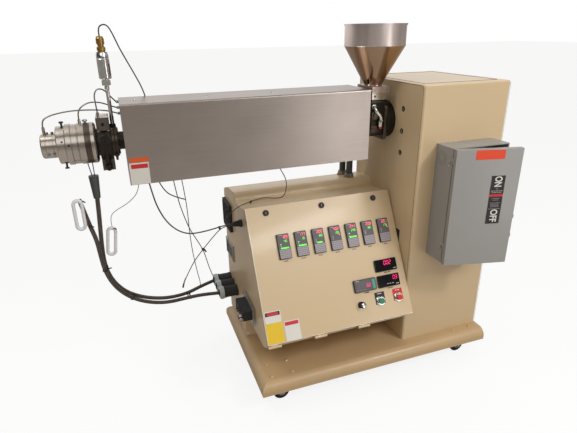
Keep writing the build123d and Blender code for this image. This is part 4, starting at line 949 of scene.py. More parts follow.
class ExtruderStudioScene(bpy.types.Operator):
    """Adds the camera at the photograph's view, the lamps, the room and the floor"""
    bl_idname = "extruder.studio"
    bl_label = "Studio"

    def execute(self, context):
        studio, scene = context.scene.extruder_studio, context.scene
        scene.view_settings.view_transform = "Standard"
        self.camera(scene, studio)
        powers = (studio.key_power, studio.fill_power, studio.strip_power, studio.low_power,
                  studio.side_power)
        for (name, (spot, target, sizes)), power in zip(LAMPS.items(), powers):
            light = bpy.data.lights.new(f"{name}_lamp", "AREA")
            light.shape = "RECTANGLE"
            light.size, light.size_y = sizes
            light.energy = power
            lamp = bpy.data.objects.new(f"{name}_lamp", light)
            lamp.location = spot
            lamp.rotation_mode = "QUATERNION"
            lamp.rotation_quaternion = (Vector(target) - Vector(spot)).to_track_quat("-Z", "Y")
            scene.collection.objects.link(lamp)
        self.room(scene, studio)
        self.floor(scene, studio)
        return {"FINISHED"}

    def camera(self, scene, studio):
        yaw, pitch, roll = studio.camera_yaw, studio.camera_pitch, studio.camera_roll
        ahead = Vector((math.sin(yaw) * math.cos(pitch), math.cos(yaw) * math.cos(pitch),
                        -math.sin(pitch)))
        right = Vector((math.cos(yaw), -math.sin(yaw), 0))
        up = right.cross(ahead)
        right, up = (right * math.cos(roll) + up * math.sin(roll),
                     up * math.cos(roll) - right * math.sin(roll))
        lens = bpy.data.cameras.new("camera")
        lens.lens = studio.lens
        lens.sensor_fit = "HORIZONTAL"
        lens.sensor_width = 36.0
        lens.clip_start = 0.05
        camera = bpy.data.objects.new("camera", lens)
        turn = Matrix((right, up, -ahead)).transposed().to_4x4()
        camera.matrix_world = Matrix.Translation(Vector(studio.camera_place)) @ turn
        scene.collection.objects.link(camera)
        scene.camera = camera

    def room(self, scene, studio):
        """A patchy ceiling, a white wall behind that metal mirrors, and white for the camera."""
        sky = bpy.data.worlds.new("studio_sky")
        sky.use_nodes = True
        nodes = Nodes(sky.node_tree, sky.node_tree.nodes["Background"].inputs)
        spot = nodes.spot("Generated")
        along, depth, height = nodes.add("SeparateXYZ", {}, {0: spot})

        def ramp(value, start, end, low, high):
            return nodes.add("MapRange", {"interpolation_type": "SMOOTHSTEP"},
                             {"Value": value, "From Min": start, "From Max": end,
                              "To Min": low, "To Max": high})[0]

        ceiling = nodes.times(ramp(height, 0.05, 0.75, 0.24, 0.8),
                              ramp(nodes.noise(3.4, 1.0, spot), 0.42, 0.58, 0.2, 1.5),
                              ramp(along, -0.8, 0.4, 0.55, 1.0))
        bright = nodes.maths("ADD", ceiling, ramp(depth, 0.35, 0.85, 0.0, 0.75))
        nodes.fill({"Strength": studio.sky_strength,
                    "Color": nodes.mix(bright, (0.0, 0.0, 0.0), (1.0, 0.96, 0.91))})
        seen = nodes.add("Background", {}, {"Color": (1, 1, 1), "Strength": 1.0})
        path = nodes.add("LightPath")
        behind = nodes.times(path["Is Glossy Ray"], ramp(depth, 0.35, 0.85, 0.0, 1.0),
                             ramp(height, 0.04, 0.16, 0.25, 1.0))
        view = nodes.larger(path["Is Camera Ray"], path["Is Transmission Ray"])
        lit = sky.node_tree.nodes["Background"].outputs[0]
        mix = nodes.add("MixShader", {}, {0: nodes.larger(view, behind), 1: lit, 2: seen[0]})
        nodes.feed(sky.node_tree.nodes["World Output"].inputs["Surface"], mix[0])
        scene.world = sky

    def floor(self, scene, studio):
        """Pale and self-lit to the camera, which keeps the shadow, and darker to the machine."""
        nodes = new_finish("pale_floor", {"Roughness": 0.9, "Specular IOR Level": 0.1})
        material = bpy.data.materials["pale_floor"]
        shade = tuple(studio.backdrop)
        pale = nodes.mix(nodes.noise(3.0), shade, times_shade(shade, 0.98))
        path = nodes.add("LightPath")
        clear_view = nodes.larger(path["Is Camera Ray"], path["Is Transmission Ray"])
        view = nodes.larger(clear_view, nodes.times(path["Is Glossy Ray"], 0.45))
        nodes.fill({"Base Color": nodes.mix(view, tuple(studio.bounce), pale)})
        glow = nodes.add("Emission", {}, {"Color": (1, 1, 1), "Strength": 1.0})
        plain = material.node_tree.nodes["Principled BSDF"].outputs[0]
        seen = nodes.add("MixShader", {}, {0: nodes.times(clear_view, 0.86), 1: plain,
                                           2: glow[0]})
        nodes.feed(material.node_tree.nodes["Material Output"].inputs["Surface"], seen[0])
        reach = 40
        mesh = bpy.data.meshes.new("floor")
        mesh.from_pydata([(-reach, -reach, 0), (reach, -reach, 0), (reach, reach, 0),
                          (-reach, reach, 0)], [], [(0, 1, 2, 3)])
        mesh.materials.append(material)
        floor = bpy.data.objects.new("floor", mesh)
        scene.collection.objects.link(floor)


class ExtruderLinks(bpy.types.Operator):
    """Builds the two clear plastic links on the heater cables as round-edged rings"""
    bl_idname = "extruder.links"
    bl_label = "Clear links"

    def execute(self, context):
        section = ((0, -3.5), (0, 3.5), (1.2, 5.8), (3.6, 7), (7.4, 7), (9.8, 5.8), (11, 3.5),
                   (11, -3.5), (9.8, -5.8), (7.4, -7), (3.6, -7), (1.2, -5.8))
        for name, middle, lean in (("upper_link", (-748, 24.5, 805), 0),
                                   ("lower_link", (-662.5, 65.25, 676.5), -8)):
            turn = math.radians(lean)
            where = place(middle, (math.cos(turn), 0, math.sin(turn)), (0, -1, 0))
            with Piece(name, "clear_plastic", "clear_plastic", smooth=80,
                       stands_for="cable_links") as bm:
                rings = [ring_at(bm, where, stadium(38, 18.5 - inset, 0, 16), level)
                         for inset, level in section]
                for low, high in zip(rings, rings[1:] + rings[:1]):
                    join(bm, low, high)
        for name, spots in (("upper_link_clips", ((-735, 33, 850), (-722.5, 37, 757))),
                            ("lower_link_clip", ((-653.5, 65.25, 727),))):
            with Piece(name, "black_plastic", "black_plastic") as bm:
                for spot in spots:
                    tie(bm, spot, spot, (0.1, 0, 1), 3.0, 4.0)
        return {"FINISHED"}


class ExtruderTies(bpy.types.Operator):
    """Adds the cable ties, the wire clips and the end of the loose wire"""
    bl_idname = "extruder.ties"
    bl_label = "Cable ties and clips"

    def execute(self, context):
        width = context.scene.extruder_sizes.tie_width / MM
        with Piece("cable_ties", "black_plastic", "black_plastic") as bm:
            for first, second, along in (
                    ((-697.3, 89.7, 561.2), (-703, 65.7, 573), (12, 20, -74)),
                    ((-620.9, 154.3, 394.8), (-627.6, 132.2, 395.9), (39, 26, -52)),
                    ((-393.9, 249.7, 300), (-392.8, 223.2, 292.4), (75, 25, 0))):
                tie(bm, first, second, along, 7.7, width)
        with Piece("wire_clips", "black_plastic", "black_plastic") as bm:
            for first, second, along, radius, wide, tail in (
                    ((-125.8, 105.2, 743.5), None, (29, 18, 0), 2.2, 6.0, True),
                    ((-271.8, 51.1, 675.8), (-270.5, 45.5, 671.5), (45, 8, -3), 2.7, 5.5, False),
                    ((-336.8, 95.5, 574.2), None, (14, 28, -48), 2.2, 5.0, False),
                    ((-340, 46.5, 597), None, (-38, 2, -45), 2.2, 6.0, True)):
                tie(bm, first, second or first, along, radius, wide, tail)
        with Piece("loose_wire_sleeve", "tan_plastic", "wire_sheath") as bm:
            wire(bm, ((-417.5, 53, 481), (-422.7, 53.6, 469.5), (-427, 54.4, 457)), 2.6, 14)
        with Piece("loose_wire_tip", "black_plastic", "black_plastic") as bm:
            wire(bm, ((-426.6, 54.3, 458.5), (-429, 55, 449.5), (-431.4, 55.6, 441)), 3.2, 14)
        return {"FINISHED"}


def declare(thing, name, exit_point, length, diameter, far_end, lay, stiffness, carried, **more):
    """Hides the solid that a free cord stands for."""
    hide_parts(name)


class ExtruderHeaterCables(bpy.types.Operator):
    """Adds the two braided heater cables"""
    bl_idname = "extruder.heater_cables"
    bl_label = "Heater cables"

    def execute(self, context):
        things = bpy.data.objects
        for name, length, far_end, carried in (
                ("heater_cable_upper", 913.3, "plug",
                 [frame["nodes"]["heater_plug"], things["cable_ties"]]),
                ("heater_cable_lower", 906.2, "bare",
                 [things["upper_link"], things["upper_link_clips"]])):
            line = points_along(name)[::-1]
            with Piece(f"{name}_braid", "cable_braid", "steel_braid", smooth=60) as bm:
                sweep(bm, line, 7.5 * MM, 28)
            declare(things[f"{name}_braid"], name, ROUTES[name][-1], length, 15, far_end,
                    "hanging", "stiff", carried, path=[tuple(p) for p in line])
        return {"FINISHED"}


class ExtruderLeads(bpy.types.Operator):
    """Adds the probe leads, the transducer lead and the thin wires"""
    bl_idname = "extruder.leads"
    bl_label = "Leads and wires"

    def execute(self, context):
        for name, (length, size, far_end, lay, stiffness, finish, slot) in LEADS.items():
            line = show(f"{name}_line", spline_of(name, size / 2), finish, slot=slot)
            declare(line, name, ROUTES[name][0], length, size, far_end, lay, stiffness,
                    [bpy.data.objects[carried] for carried in CARRIED.get(name, [])])
        return {"FINISHED"}


class ExtruderHead(bpy.types.Operator):
    """Turns the die rings and adds their bolts, the clamp's swing bolts and the adapter's pins"""
    bl_idname = "extruder.head"
    bl_label = "Die, clamp and adapter"

    def execute(self, context):
        self.die(context.scene.extruder_sizes.bolt_head / MM)
        self.clamp()
        self.adapter()
        return {"FINISHED"}

    def die(self, bolt):
        for name, finish, node, profile in (
                ("die_rings", "turned_steel", "die_body", [
                    (-649, 6), (-649, 44), (-655, 44), (-655, 57), (-657, 63), (-661, 66.5),
                    (-671, 66.5), (-671.6, 65.4), (-689.4, 65.4), (-690, 66.5), (-708, 66.5),
                    (-709.4, 65), (-710, 62.4), (-711, 62.4), (-711.8, 64), (-727.6, 64),
                    (-728.4, 62.2), (-729.6, 62.2), (-730.6, 66), (-745.4, 66), (-747, 64.4),
                    (-747, 59.4), (-748.4, 60.5), (-771.5, 60.5), (-774, 58), (-774, 6)]),
                ("nozzle_tip", "turned_steel", "nozzle", [
                    (-774, 6), (-774, 37.6), (-775.6, 39), (-783, 39), (-783.6, 38.2),
                    (-784.6, 38.2), (-785.2, 39), (-805, 39), (-805.6, 38), (-806.8, 38),
                    (-807.4, 39), (-818, 39), (-821.5, 35.5), (-821.5, 12), (-818.5, 9),
                    (-818.5, 6)]),
                ("die_dark_band", "dark_band", None, [
                    (-671.8, 64.5), (-671.8, 65.9), (-689.2, 65.9), (-689.2, 64.5),
                    (-671.8, 64.5)])):
            with Piece(name, finish, "machined_steel", smooth=28, stands_for=node) as bm:
                head_turned(bm, profile)
        with Piece("die_black_bolts", "black_plastic", "dark_steel") as bm:
            for x, angle, rise in ((-753.7, 90, 15), (-757.7, -78, 17)):
                post(bm, rim_spot(x, angle, 60.2), [
                    (bolt * 0.55, 0), (bolt * 0.55, rise - 6), (bolt * 1.15, rise - 5),
                    (bolt * 1.15, rise - 0.8), (bolt * 0.95, rise)], 24)
        with Piece("die_bright_bolts", "zinc", "zinc_plate") as bm:
            post(bm, rim_spot(-683.2, 90, 65.6),
                 [(4, 0), (4, 5), (7.5, 5.6), (7.5, 9.4), (6, 11.5)], 20)
            for x in (-800.6, -785.0):
                for angle, height in ((90, 6.5), (-30, 4.0), (210, 4.0)):
                    socket_screw(bm, rim_spot(x, angle, 38.2), 4.4, height)
        with Piece("die_set_screws", "dark_glass", "dark_steel") as bm:
            for x, angle, radius in ((-756, 20, 60.5), (-737, 8, 66), (-676, 14, 65.9),
                                     (-756, 110, 60.5), (-756, 200, 60.5), (-737, 188, 66)):
                disc(bm, rim_spot(x, angle, radius - 0.6), 3.6, 0, 0.9, 6)

    def clamp(self):
        with Piece("clamp_fittings", "black_steel", "dark_steel") as bm:
            head_turned(bm, [(-611, 45), (-611, 59), (-612.5, 60.5), (-624, 60.5), (-625, 58),
                             (-634, 58), (-635, 60.5), (-646.5, 60.5), (-648, 59), (-648, 45)])
            for y, side in ((2.0, -1), (108.5, 1)):
                eye = side_spot(CLAMP_X, y, 1058, side)
                post(bm, eye, [(15, -14), (15, 5), (13.5, 6.5), (8, 6.5), (8, 4)], 28)
                rod = down_spot(CLAMP_X, y - 9 * side, 1050)
                post(bm, rod, [(6.2, 0), (6.2, 96), (5, 98)], 20)
                disc(bm, rod, 12, 78, 81)
                post(bm, rod, [(11.5, 81), (11.5, 91), (10.5, 92)], 6)
        with Piece("clamp_bright_parts", "turned_steel", "machined_steel") as bm:
            prism(bm, place((CLAMP_X, AXIS_Y, 1125)), rounded_box(37.5, 91.5, 1.2), -0.4, 0.7)
            for x in (-614.5, -644.5):
                bar(bm, front_spot(x, 8.6, 1083), 8, 3, -2, 0.8)
            bar(bm, left_spot(-648.5, 26, 1104), 34, 36, -0.5, 0.8)
        faces = [(8.75, -1), (101.75, 1)]
        with Piece("clamp_block_faces", "worn_steel", "dark_steel") as bm:
            for y, facing in faces:
                bar(bm, side_spot(CLAMP_X, y, 1104.5, facing), 37.6, 39.5,
                    -0.4, 0.5)
            for x in (-643, -616):
                for y, facing in ((32.25, -1), (78.25, 1)):
                    bar(bm, side_spot(x, y, 985, facing), 9.5, 72, -0.4, 0.8)
            head_turned(bm, [(-648.8, 52), (-648.8, 56.6), (-647.6, 57.4), (-647.6, 52),
                             (-648.8, 52)])
        with Piece("neck_sleeve", "black_steel", "dark_steel") as bm:
            head_turned(bm, [(-648.6, 40), (-648.6, 44.6), (-655.2, 44.6), (-655.2, 40),
                             (-648.6, 40)])
        # Dark discs painted as the shade inside the block's holes
        with Piece("clamp_hole", "dark_glass", "dark_steel") as bm:
            for y, facing in faces:
                disc(bm, side_spot(CLAMP_X, y, 1104, facing), 5.6, -0.2, 0.9)

    def adapter(self):
        with Piece("adapter_fittings", "gunmetal", "dark_steel") as bm:
            head_turned(bm, [
                (-590.6, 30), (-590.6, 48.5), (-592, 50.4), (-598.2, 50.4), (-599, 49),
                (-601, 49), (-601.8, 50.4), (-608, 50.4), (-609.5, 48.5), (-609.5, 30)])
            for angle in (-52, 232):
                post(bm, rim_spot(-600, angle, 48),
                     [(5.4, 0), (5.4, 10), (4, 12), (4, 19), (2.4, 22)], 16)
            for k in range(8):
                angle = math.radians(22.5 + 45 * k)
                socket_screw(bm, right_spot(-590.2, AXIS_Y + 40 * math.cos(angle),
                                            AXIS_Z + 40 * math.sin(angle)), 4.5, 4.0)


class ExtruderTransducer(bpy.types.Operator):
    """Builds the pressure transducer's stem, hexagon, housing and connector"""
    bl_idname = "extruder.transducer"
    bl_label = "Pressure transducer"

    def execute(self, context):
        stem = place((TRANSDUCER_X, AXIS_Y, 0))
        with Piece("transducer_housing", "chrome", "machined_steel", smooth=30,
                   stands_for="pressure_transducer") as bm:
            post(bm, stem, [(6, 1089), (6, 1206), (7.6, 1208), (7.6, 1216), (6.4, 1218),
                            (6.4, 1220)], 24)
            prism(bm, stem, ring_points(13.6, 6), 1220, 1236)
            post(bm, stem, [(10, 1236), (10, 1240), (17.2, 1240), (19, 1242), (19, 1300),
                            (18.2, 1301), (18.2, 1303), (19, 1304), (19, 1314), (17, 1318),
                            (17, 1321)], 48)
        with Piece("transducer_foot", "black_steel", "dark_steel") as bm:
            post(bm, stem, [(9.5, 1089), (9.5, 1097), (6.6, 1098), (6.6, 1122)], 6)
        # Dark bars painted as the shade inside the housing's slots
        with Piece("transducer_slots", "dark_glass", "dark_steel") as bm:
            for angle, low, high in ((150, 1250, 1262), (150, 1266, 1286), (330, 1250, 1286)):
                bar(bm, stem_spot(angle, 18.7, (low + high) / 2), 5.0, high - low, -0.8, 0.5, 1.5)
        with Piece("transducer_connector", "brass", "machined_steel", smooth=30) as bm:
            post(bm, stem, [(11.5, 1320), (11.5, 1324), (13, 1325), (13, 1335), (11.5, 1336),
                            (9.6, 1337), (9.6, 1343), (11.8, 1344), (11.8, 1361), (10.4, 1363),
                            (10.4, 1366), (4.6, 1368)], 32)
            for k in range(24):
                bar(bm, stem_spot(360 * k / 24, 11.6, 1352.5), 1.4, 15, -0.3, 0.5, 0.4)
        return {"FINISHED"}


class ExtruderCover(bpy.types.Operator):
    """Adds the barrel cover's screws and blank plates"""
    bl_idname = "extruder.cover"
    bl_label = "Barrel cover fittings"

    def execute(self, context):
        screw = context.scene.extruder_sizes.cover_screw / MM
        with Piece("cover_screws", "turned_steel", "machined_steel") as bm:
            for x in (-522.2, -281.2, -45.2):
                post(bm, place((x, AXIS_Y, 1169.5)), [
                    (screw, 0), (screw * 0.9, 1.4), (screw * 0.55, 2.2), (screw * 0.3, 2.3),
                    (screw * 0.3, 0.8)], 20)
        for name, finish, x, out, z, *measures in (
                ("cover_orange_plate", "orange_card", -534, -40.25, 990.5, 61, 15.5, 0, 0.5),
                ("cover_white_plate", "white_card", -537, -40.25, 945, 62, 73, 0, 0.5),
                ("cover_red_band", "red_card", -535.5, -40.75, 969.5, 53, 14.5, 0, 0.25)):
            plates(name, finish, "cover_steel", "machine", (front_spot(x, out, z), *measures))
        return {"FINISHED"}


class ExtruderFeed(bpy.types.Operator):
    """Adds the hopper's rolled rim and seam, the feed block's fittings and the thrust flange"""
    bl_idname = "extruder.feed"
    bl_label = "Hopper and feed fittings"

    def execute(self, context):
        with Piece("hopper_rim_and_seam", "turned_steel", "stainless_sheet") as bm:
            for radius, height, thick in ((115.6, 1393.0, 1.7), (114.6, 1318, 0.9),
                                          (33.4, 1176, 1.2)):
                wire_ring(bm, place((HOPPER_X, AXIS_Y, height)), radius, thick, 8, 96)
            wire(bm, [(HOPPER_X, AXIS_Y + out, z) for out, z in ((115, 1390), (115, 1319),
                                                                 (34, 1176))], 0.9)
        self.fittings()
        with Piece("thrust_disc", "black_steel", "dark_steel", stands_for="thrust_flange") as bm:
            head_turned(bm, [(437.5, 30), (437.5, 72), (410, 72), (407, 69), (402, 69),
                             (402, 30)])
        with Piece("thrust_plate", "worn_steel", "dark_steel") as bm:
            where = right_spot(391.5, AXIS_Y, 1037)
            outline = rounded_box(130, 138, 16)
            prism(bm, where, outline, 1.5, 11.5)
            loft(bm, where, rounded_box(127, 135, 14.5), 0, outline, 1.5)
            for side_y, side_z in CORNERS:
                socket_screw(bm, left_spot(391.5, AXIS_Y + 50 * side_y, 1037 + 53 * side_z), 7, 7)
        with Piece("feed_collars", "gunmetal", "dark_steel") as bm:
            face = front_spot(350, -4.75, 1068)
            post(bm, face, [(19, 0), (19, 5), (16, 8)], 32)
            disc(bm, face, 11, 8, 13, 6)
            prism(bm, front_spot(356, -4.75, 1016), rounded_box(44, 26, 3), 0, 5)
            for x in (341, 371):
                socket_screw(bm, front_spot(x, -9.75, 1016), 3.6, 3)
        return {"FINISHED"}

    def fittings(self):
        with Piece("feed_bracket", "zinc", "zinc_plate") as bm:
            prism(bm, front_spot(401, -4.75, 1148), rounded_box(5, 44, 0.6), -18, 2.5)
            prism(bm, front_spot(HOPPER_X, -4.75, 1127), rounded_box(66, 3, 0.6), 0, 3)
            for x in (345, 396):
                socket_screw(bm, front_spot(x, -4.75, 1162), 3.5, 3)
        with Piece("feed_elbow", "chrome", "machined_steel") as bm:
            wire(bm, ((344, -4, 1100), (344, -12, 1098), (345, -18, 1092), (349, -20, 1084),
                      (356, -20, 1076), (364, -20, 1069), (369, -20, 1060), (370, -20, 1050)),
                 6.5, 20)
            disc(bm, down_spot(370, -20, 1050), 8.5, -2, 6, 6)
            disc(bm, front_spot(344, -4.75, 1100), 9.5, 0, 5, 6)
        plates("feed_tab", "white_card", "wire_sheath", "machine",
               (front_spot(369, -19, 1037), 12, 26, -1.2, 1.2, 2))
        plates("feed_tab_end", "red_card", "red_plastic", "machine",
               (front_spot(370, -19, 1021), 12, 8, -1.4, 1.4, 2))
        with Piece("feed_band", "black_steel", "dark_steel") as bm:
            head_turned(bm, [(334.5, 30), (334.5, 38), (331, 40), (316, 40), (313, 38),
                             (313, 30)])


# What each controller shows: red digits, green digits, green dot, width of the green bar, red dot
CONTROLLER_SHOWS = (
    ("189", "40", True, 32, False), ("177", "10", True, 32, False),
    ("200", "180", False, 22, False), ("402", "190", False, 0, True),
    ("241", "240", True, 32, False), ("208", "60", False, 0, False),
    ("201", "175", False, 0, True))
FACE = 0.8


class ExtruderControllers(bpy.types.Operator):
    """Adds the faces, flaps and lit digits of the seven temperature controllers"""
    bl_idname = "extruder.controllers"
    bl_label = "Temperature controllers"

    def execute(self, context):
        high = context.scene.extruder_sizes.digit_height / MM
        spots = [door_spot(124 + 71.6 * n, 163, 8.0) for n in range(7)]
        for name, finish, bars in (
                ("faces", "grey_panel", [(45, 93, 0, FACE, 1.5)]),
                # The flaps' pale grey is partly painted sheen
                ("flaps", "pale_flap", [(43.5, 34, FACE, 2.2, 1.2, (0, -28.5))]),
                ("flap_lines", "grey_panel", [(41, 1.0, 2.2, 2.5, 0.3, (0, -17.5 - k * 7.2))
                                              for k in range(4)])):
            plates(f"controller_{name}", finish, "black_plastic", "control_door",
                   *[(where, *measures) for where in spots for measures in bars])
        with Piece("controller_print", "white_card", body="control_door") as bm:
            for where in spots:
                for level in (6.5, 0.5, -4.0):
                    dashes(bm, where, (3.2, 1.6), 1.2, (-12, level), FACE)
                dashes(bm, where, (4.5, 2.5, 4.5), 1.2, (-8, 42), FACE)
        with Piece("controller_legends", "black_plastic", body="control_door") as bm:
            for where in spots:
                dashes(bm, moved(where, 0, 0, -8), (4.5, 3.0, 4.0), 3.0, (0, -57.5))
        shown = list(zip(spots, CONTROLLER_SHOWS))
        with Piece("controller_red_digits", "red_glow", body="control_door") as bm:
            for where, (red, _, _, _, dot) in shown:
                digits(bm, where, red, high, (7.0, 35.5), FACE)
                if dot:
                    disc(bm, moved(where, 17, 11, FACE), 2.3, 0, 0.5, 16)
        with Piece("controller_green_digits", "green_glow", body="control_door") as bm:
            for where, (_, green, dot, width, _) in shown:
                digits(bm, where, green, high * 0.78, (8.0, 19.5), FACE)
                if dot:
                    disc(bm, moved(where, -12, 8, FACE), 2.0, 0, 0.5, 16)
                if width:
                    bar(bm, where, width, 4.4, FACE, 1.3, 1.5, (2, -6.5))
        return {"FINISHED"}


class ExtruderMeters(bpy.types.Operator):
    """Adds the glass, digits and marks of the three panel meters"""
    bl_idname = "extruder.meters"
    bl_label = "Panel meters"

    def execute(self, context):
        first, second, third = [door_spot(across, down, 8.0)
                                for across, down in ((531, 303), (531, 366), (425, 366))]
        face = (93, 45, 0, FACE, 1.5)
        plates("meter_glass", "dark_glass", "black_plastic", "control_door",
               (first, *face), (second, *face))
        plates("meter_grey_face", "meter_grey", "black_plastic", "control_door", (third, *face))
        plates("meter_pane", "grey_panel", "black_plastic", "control_door",
               (third, 56, 30, FACE, 1.1, 1.5, (-10, 2)))
        plates("meter_teal_strip", "teal_card", None, "control_door",
               (third, 12, 38, FACE, 1.2, 0.8, (37, 0)))
        with Piece("meter_digits", "magenta_glow", body="control_door") as bm:
            digits(bm, first, "002", 16, (7, 9), FACE)
            digits(bm, second, "03", 15, (29, 10), FACE)
            digits(bm, third, "60", 12.5, (14, -1), 1.1)
        with Piece("meter_marks", "white_card", body="control_door") as bm:
            for where, widths, height, middle in (
                    (first, (5, 3, 4), 1.8, (37, -18)), (second, (6, 5), 2.4, (36, -18)),
                    *[(second, (4, 2), 2.0, (x, -13)) for x in (-8, 4, 16)],
                    (third, (9, 5), 1.8, (-32, 18.5)),
                    *[(third, (3,), 1.2, (x, -17)) for x in (-34, -24, -14, -4)]):
                dashes(bm, where, widths, height, middle, FACE)
        with Piece("meter_legends", "black_plastic", body="control_door") as bm:
            for where, widths in ((first, (15, 11)), (second, (13, 9)), (third, (22,))):
                dashes(bm, moved(where, 4, 0, -8), widths, 3.2, (0, -31.5))
        return {"FINISHED"}


class ExtruderDoorFittings(bpy.types.Operator):
    """Adds the legend plates, knob, latches and blank plates of the control door, and pale strips
    painted as highlights along its edges
    """
    bl_idname = "extruder.door_fittings"
    bl_label = "Door fittings"

    def execute(self, context):
        for name, finish, across in (("green_legend_plate", "black_plastic", BUTTONS[0]),
                                     ("red_legend_plate", "red_plastic", BUTTONS[1])):
            plates(name, finish, finish, "control_door",
                   (door_spot(across, 427.5), 43, 47, 0, 1.0, 1.5))
        with Piece("legend_marks", "white_card", body="control_door") as bm:
            for across in BUTTONS:
                dashes(bm, door_spot(across, 410, 1.0), (6, 4, 5), 3.0, (0, -1.5))
        with Piece("button_rings", "chrome", "chrome_trim", "control_door", 30) as bm:
            for across in BUTTONS:
                hoop(bm, door_spot(across, BUTTON_DOWN),
                     [(15.4, 1.0), (19.6, 1.0), (19.6, 2.6), (16.6, 5.6), (15.4, 5.6)])
        knob = door_spot(KNOB_ACROSS, BUTTON_DOWN)
        with Piece("knob_flutes", "black_plastic", "black_plastic", "speed_knob") as bm:
            prism(bm, knob, toothed(11.9, 13.2, 18, 2), 4.2, 13.0)
            bar(bm, knob, 1.6, 11, 21.6, 22.4, 0.4, (0, 7.5))
        with Piece("knob_cap", "chrome", "chrome_trim", "speed_knob", 30) as bm:
            turned(bm, knob, [(0, 21.8), (8.4, 21.8), (8.4, 22.6), (7.6, 23.4), (6.4, 23.0),
                              (0, 23.2)], 36)
        with Piece("latch_rims", "black_plastic", "black_plastic", "control_door") as bm:
            for across in LATCHES:
                hoop(bm, door_spot(across, 27),
                     [(8.6, 4.0), (11.0, 3.4), (11.6, 4.4), (10.6, 5.4), (8.6, 5.2)], 32)
        for name, finish, slot, *bars in (
                ("latch_slots", "pale_flap", "dark_steel",
                 *[(across, 27, 0, 1.8, 11, 4.0, 4.5, 0.6) for across in LATCHES]),
                # Pale strips painted as the highlight along the door's left and bottom edges
                ("door_edge_trim", "pale_enamel", "beige_paint",
                 (0.2, 256, 0, 1.6, 508, -3, 0.7), (306.5, 511.4, 0, 611, 1.6, -3, 0.7)),
                ("door_white_plates", "white_card", None,
                 (35, 412.5, 0, 62, 43, 0, 0.4, 1.5), (102.5, 473.5, 0, 59, 73, 0, 0.4, 1.5)),
                ("door_yellow_plate", "yellow_card", None, (34, 471.5, 0, 64, 74, 0, 0.5, 1.5)),
                ("door_red_bands", "red_card", None,
                 (35, 401, 0.4, 45, 10.5, 0, 0.4, 5.0), (102, 447, 0.4, 53, 13.5, 0, 0.3, 1.0)),
                ("door_black_band", "black_plastic", None,
                 (35, 401, 0.35, 57, 14, 0, 0.25, 1.0))):
            plates(name, finish, slot, "control_door",
                   *[(door_spot(*measures[:3]), *measures[3:]) for measures in bars])
        return {"FINISHED"}


class ExtruderLeftEnd(bpy.types.Operator):
    """Adds the toothed rings, the panels, the gland's ribs and the small plugs"""
    bl_idname = "extruder.left_end"
    bl_label = "Left end of the control cabinet"

    def execute(self, context):
        self.connectors()
        inlet_y = 293.25
        for name, finish, slot, bars in (
                ("inlet_upper_panel", "grey_panel", "grey_paint", [(477, 112, 27, 0.6, 2.6)]),
                ("inlet_lower_panel", "brown_panel", "grey_paint", [(447, 112, 28, 0.6, 1.6)]),
                ("inlet_bars", "zinc", "zinc_plate", [
                    (z, 114, 1.4, 1.6, 3.6) for z in (433, 440, 447, 454, 461.5, 491)])):
            plates(name, finish, slot, "machine",
                   *[(left_spot(CABINET_LEFT, inlet_y, z), *measures) for z, *measures in bars])
        with Piece("grille_frame", "black_plastic", "black_plastic") as bm:
            where = left_spot(CABINET_LEFT - 12, 290.25, 628)
            for width, height, x in ((4, 100, -58), (4, 100, 58), (3, 104, -19), (3, 104, 19)):
                bar(bm, where, width, height, 0, 1.6, 1.2, (x, 0))
            collar(bm, where, 20, 23, -1, 1.8)
            collar(bm, where, 40, 43, -1, 1.8, 64)
        with Piece("gland_ribs", "black_plastic", "black_plastic") as bm:
            for k in range(4):
                low = 12 + k * 5.2
                collar(bm, left_spot(CABINET_LEFT, 58.25, 676), 8, 12.6 - k * 0.7, low,
                       low + 2.6, 28)
        self.jacks()
        with Piece("end_plate_screws", "zinc", "zinc_plate") as bm:
            for x, places_y, places_z in ((-191.5, (-82, 56), (366, 298)),
                                          (-186.5, (232.25, 354), (494, 428))):
                for z in places_z:
                    for y in places_y:
                        turned(bm, left_spot(x, y, z), [(0, 0), (2.6, 0), (2.2, 1.2), (0, 1.5)],
                               18)
        return {"FINISHED"}

    def connectors(self):
        with Piece("connector_teeth", "pale_plastic", "clear_plastic") as bm:
            for y in CONNECTORS:
                where = left_spot(-242.8, y, 292)
                prism(bm, where, toothed(26.5, 29.0, 12, 3), 1.5, 15)
                hoop(bm, where, [(18, -0.2), (26.8, -0.2), (26.8, 17.2), (24.5, 19.2),
                                 (18, 19.2)])
        with Piece("connector_caps", "black_plastic", "black_plastic") as bm:
            for y in CONNECTORS:
                hoop(bm, left_spot(-260.5, y, 292), [(8.2, -2), (16.5, -2), (15, 3), (11, 5),
                                                     (8.2, 5)], 36)
                for x in (-186.5, -236):
                    collar(bm, left_spot(x, y, 292), 22, 27.4, 0, 2.4)

    def jacks(self):
        plug_x, block_x, block_y = -225.5, -228.5, -12.75
        for name, finish, slot, spots, radius, length, tip in (
                ("jack_black_plugs", "black_plastic", "black_plastic",
                 ((-44, 325), (-50, 318.5), (-57, 323), (-30, 340), (-14, 340)), 3.4, 13,
                 (2.2, 16)),
                ("jack_white_plugs", "white_card", None,
                 ((-47.5, 328), (-53.5, 325), (-60, 319)), 3.2, 11, (2, 13)),
                ("jack_tan_plug", "tan_plastic", None, ((-66, 316),), 5, 9, (4, 11))):
            with Piece(name, finish, slot) as bm:
                for y, z in spots:
                    post(bm, left_spot(plug_x, y, z), [(radius, 0), (radius, length), tip],
                         24 if radius == 5 else 18)
        columns = [block_y + (column - 3.5) * 14.5 for column in range(8)]
        with Piece("jack_sockets", "brass", "machined_steel") as bm:
            for y in columns:
                for rise in (10, -10):
                    collar(bm, left_spot(block_x, y, 332 + rise), 1.4, 2.2, -0.5, 0.6, 16)
        # Grey faces on the black ribs, painted as their highlights
        plates("jack_rib_faces", "meter_grey", "black_plastic", "machine",
               *[(left_spot(block_x, y, 332), 4.6, 39, -0.2, 0.4) for y in columns])


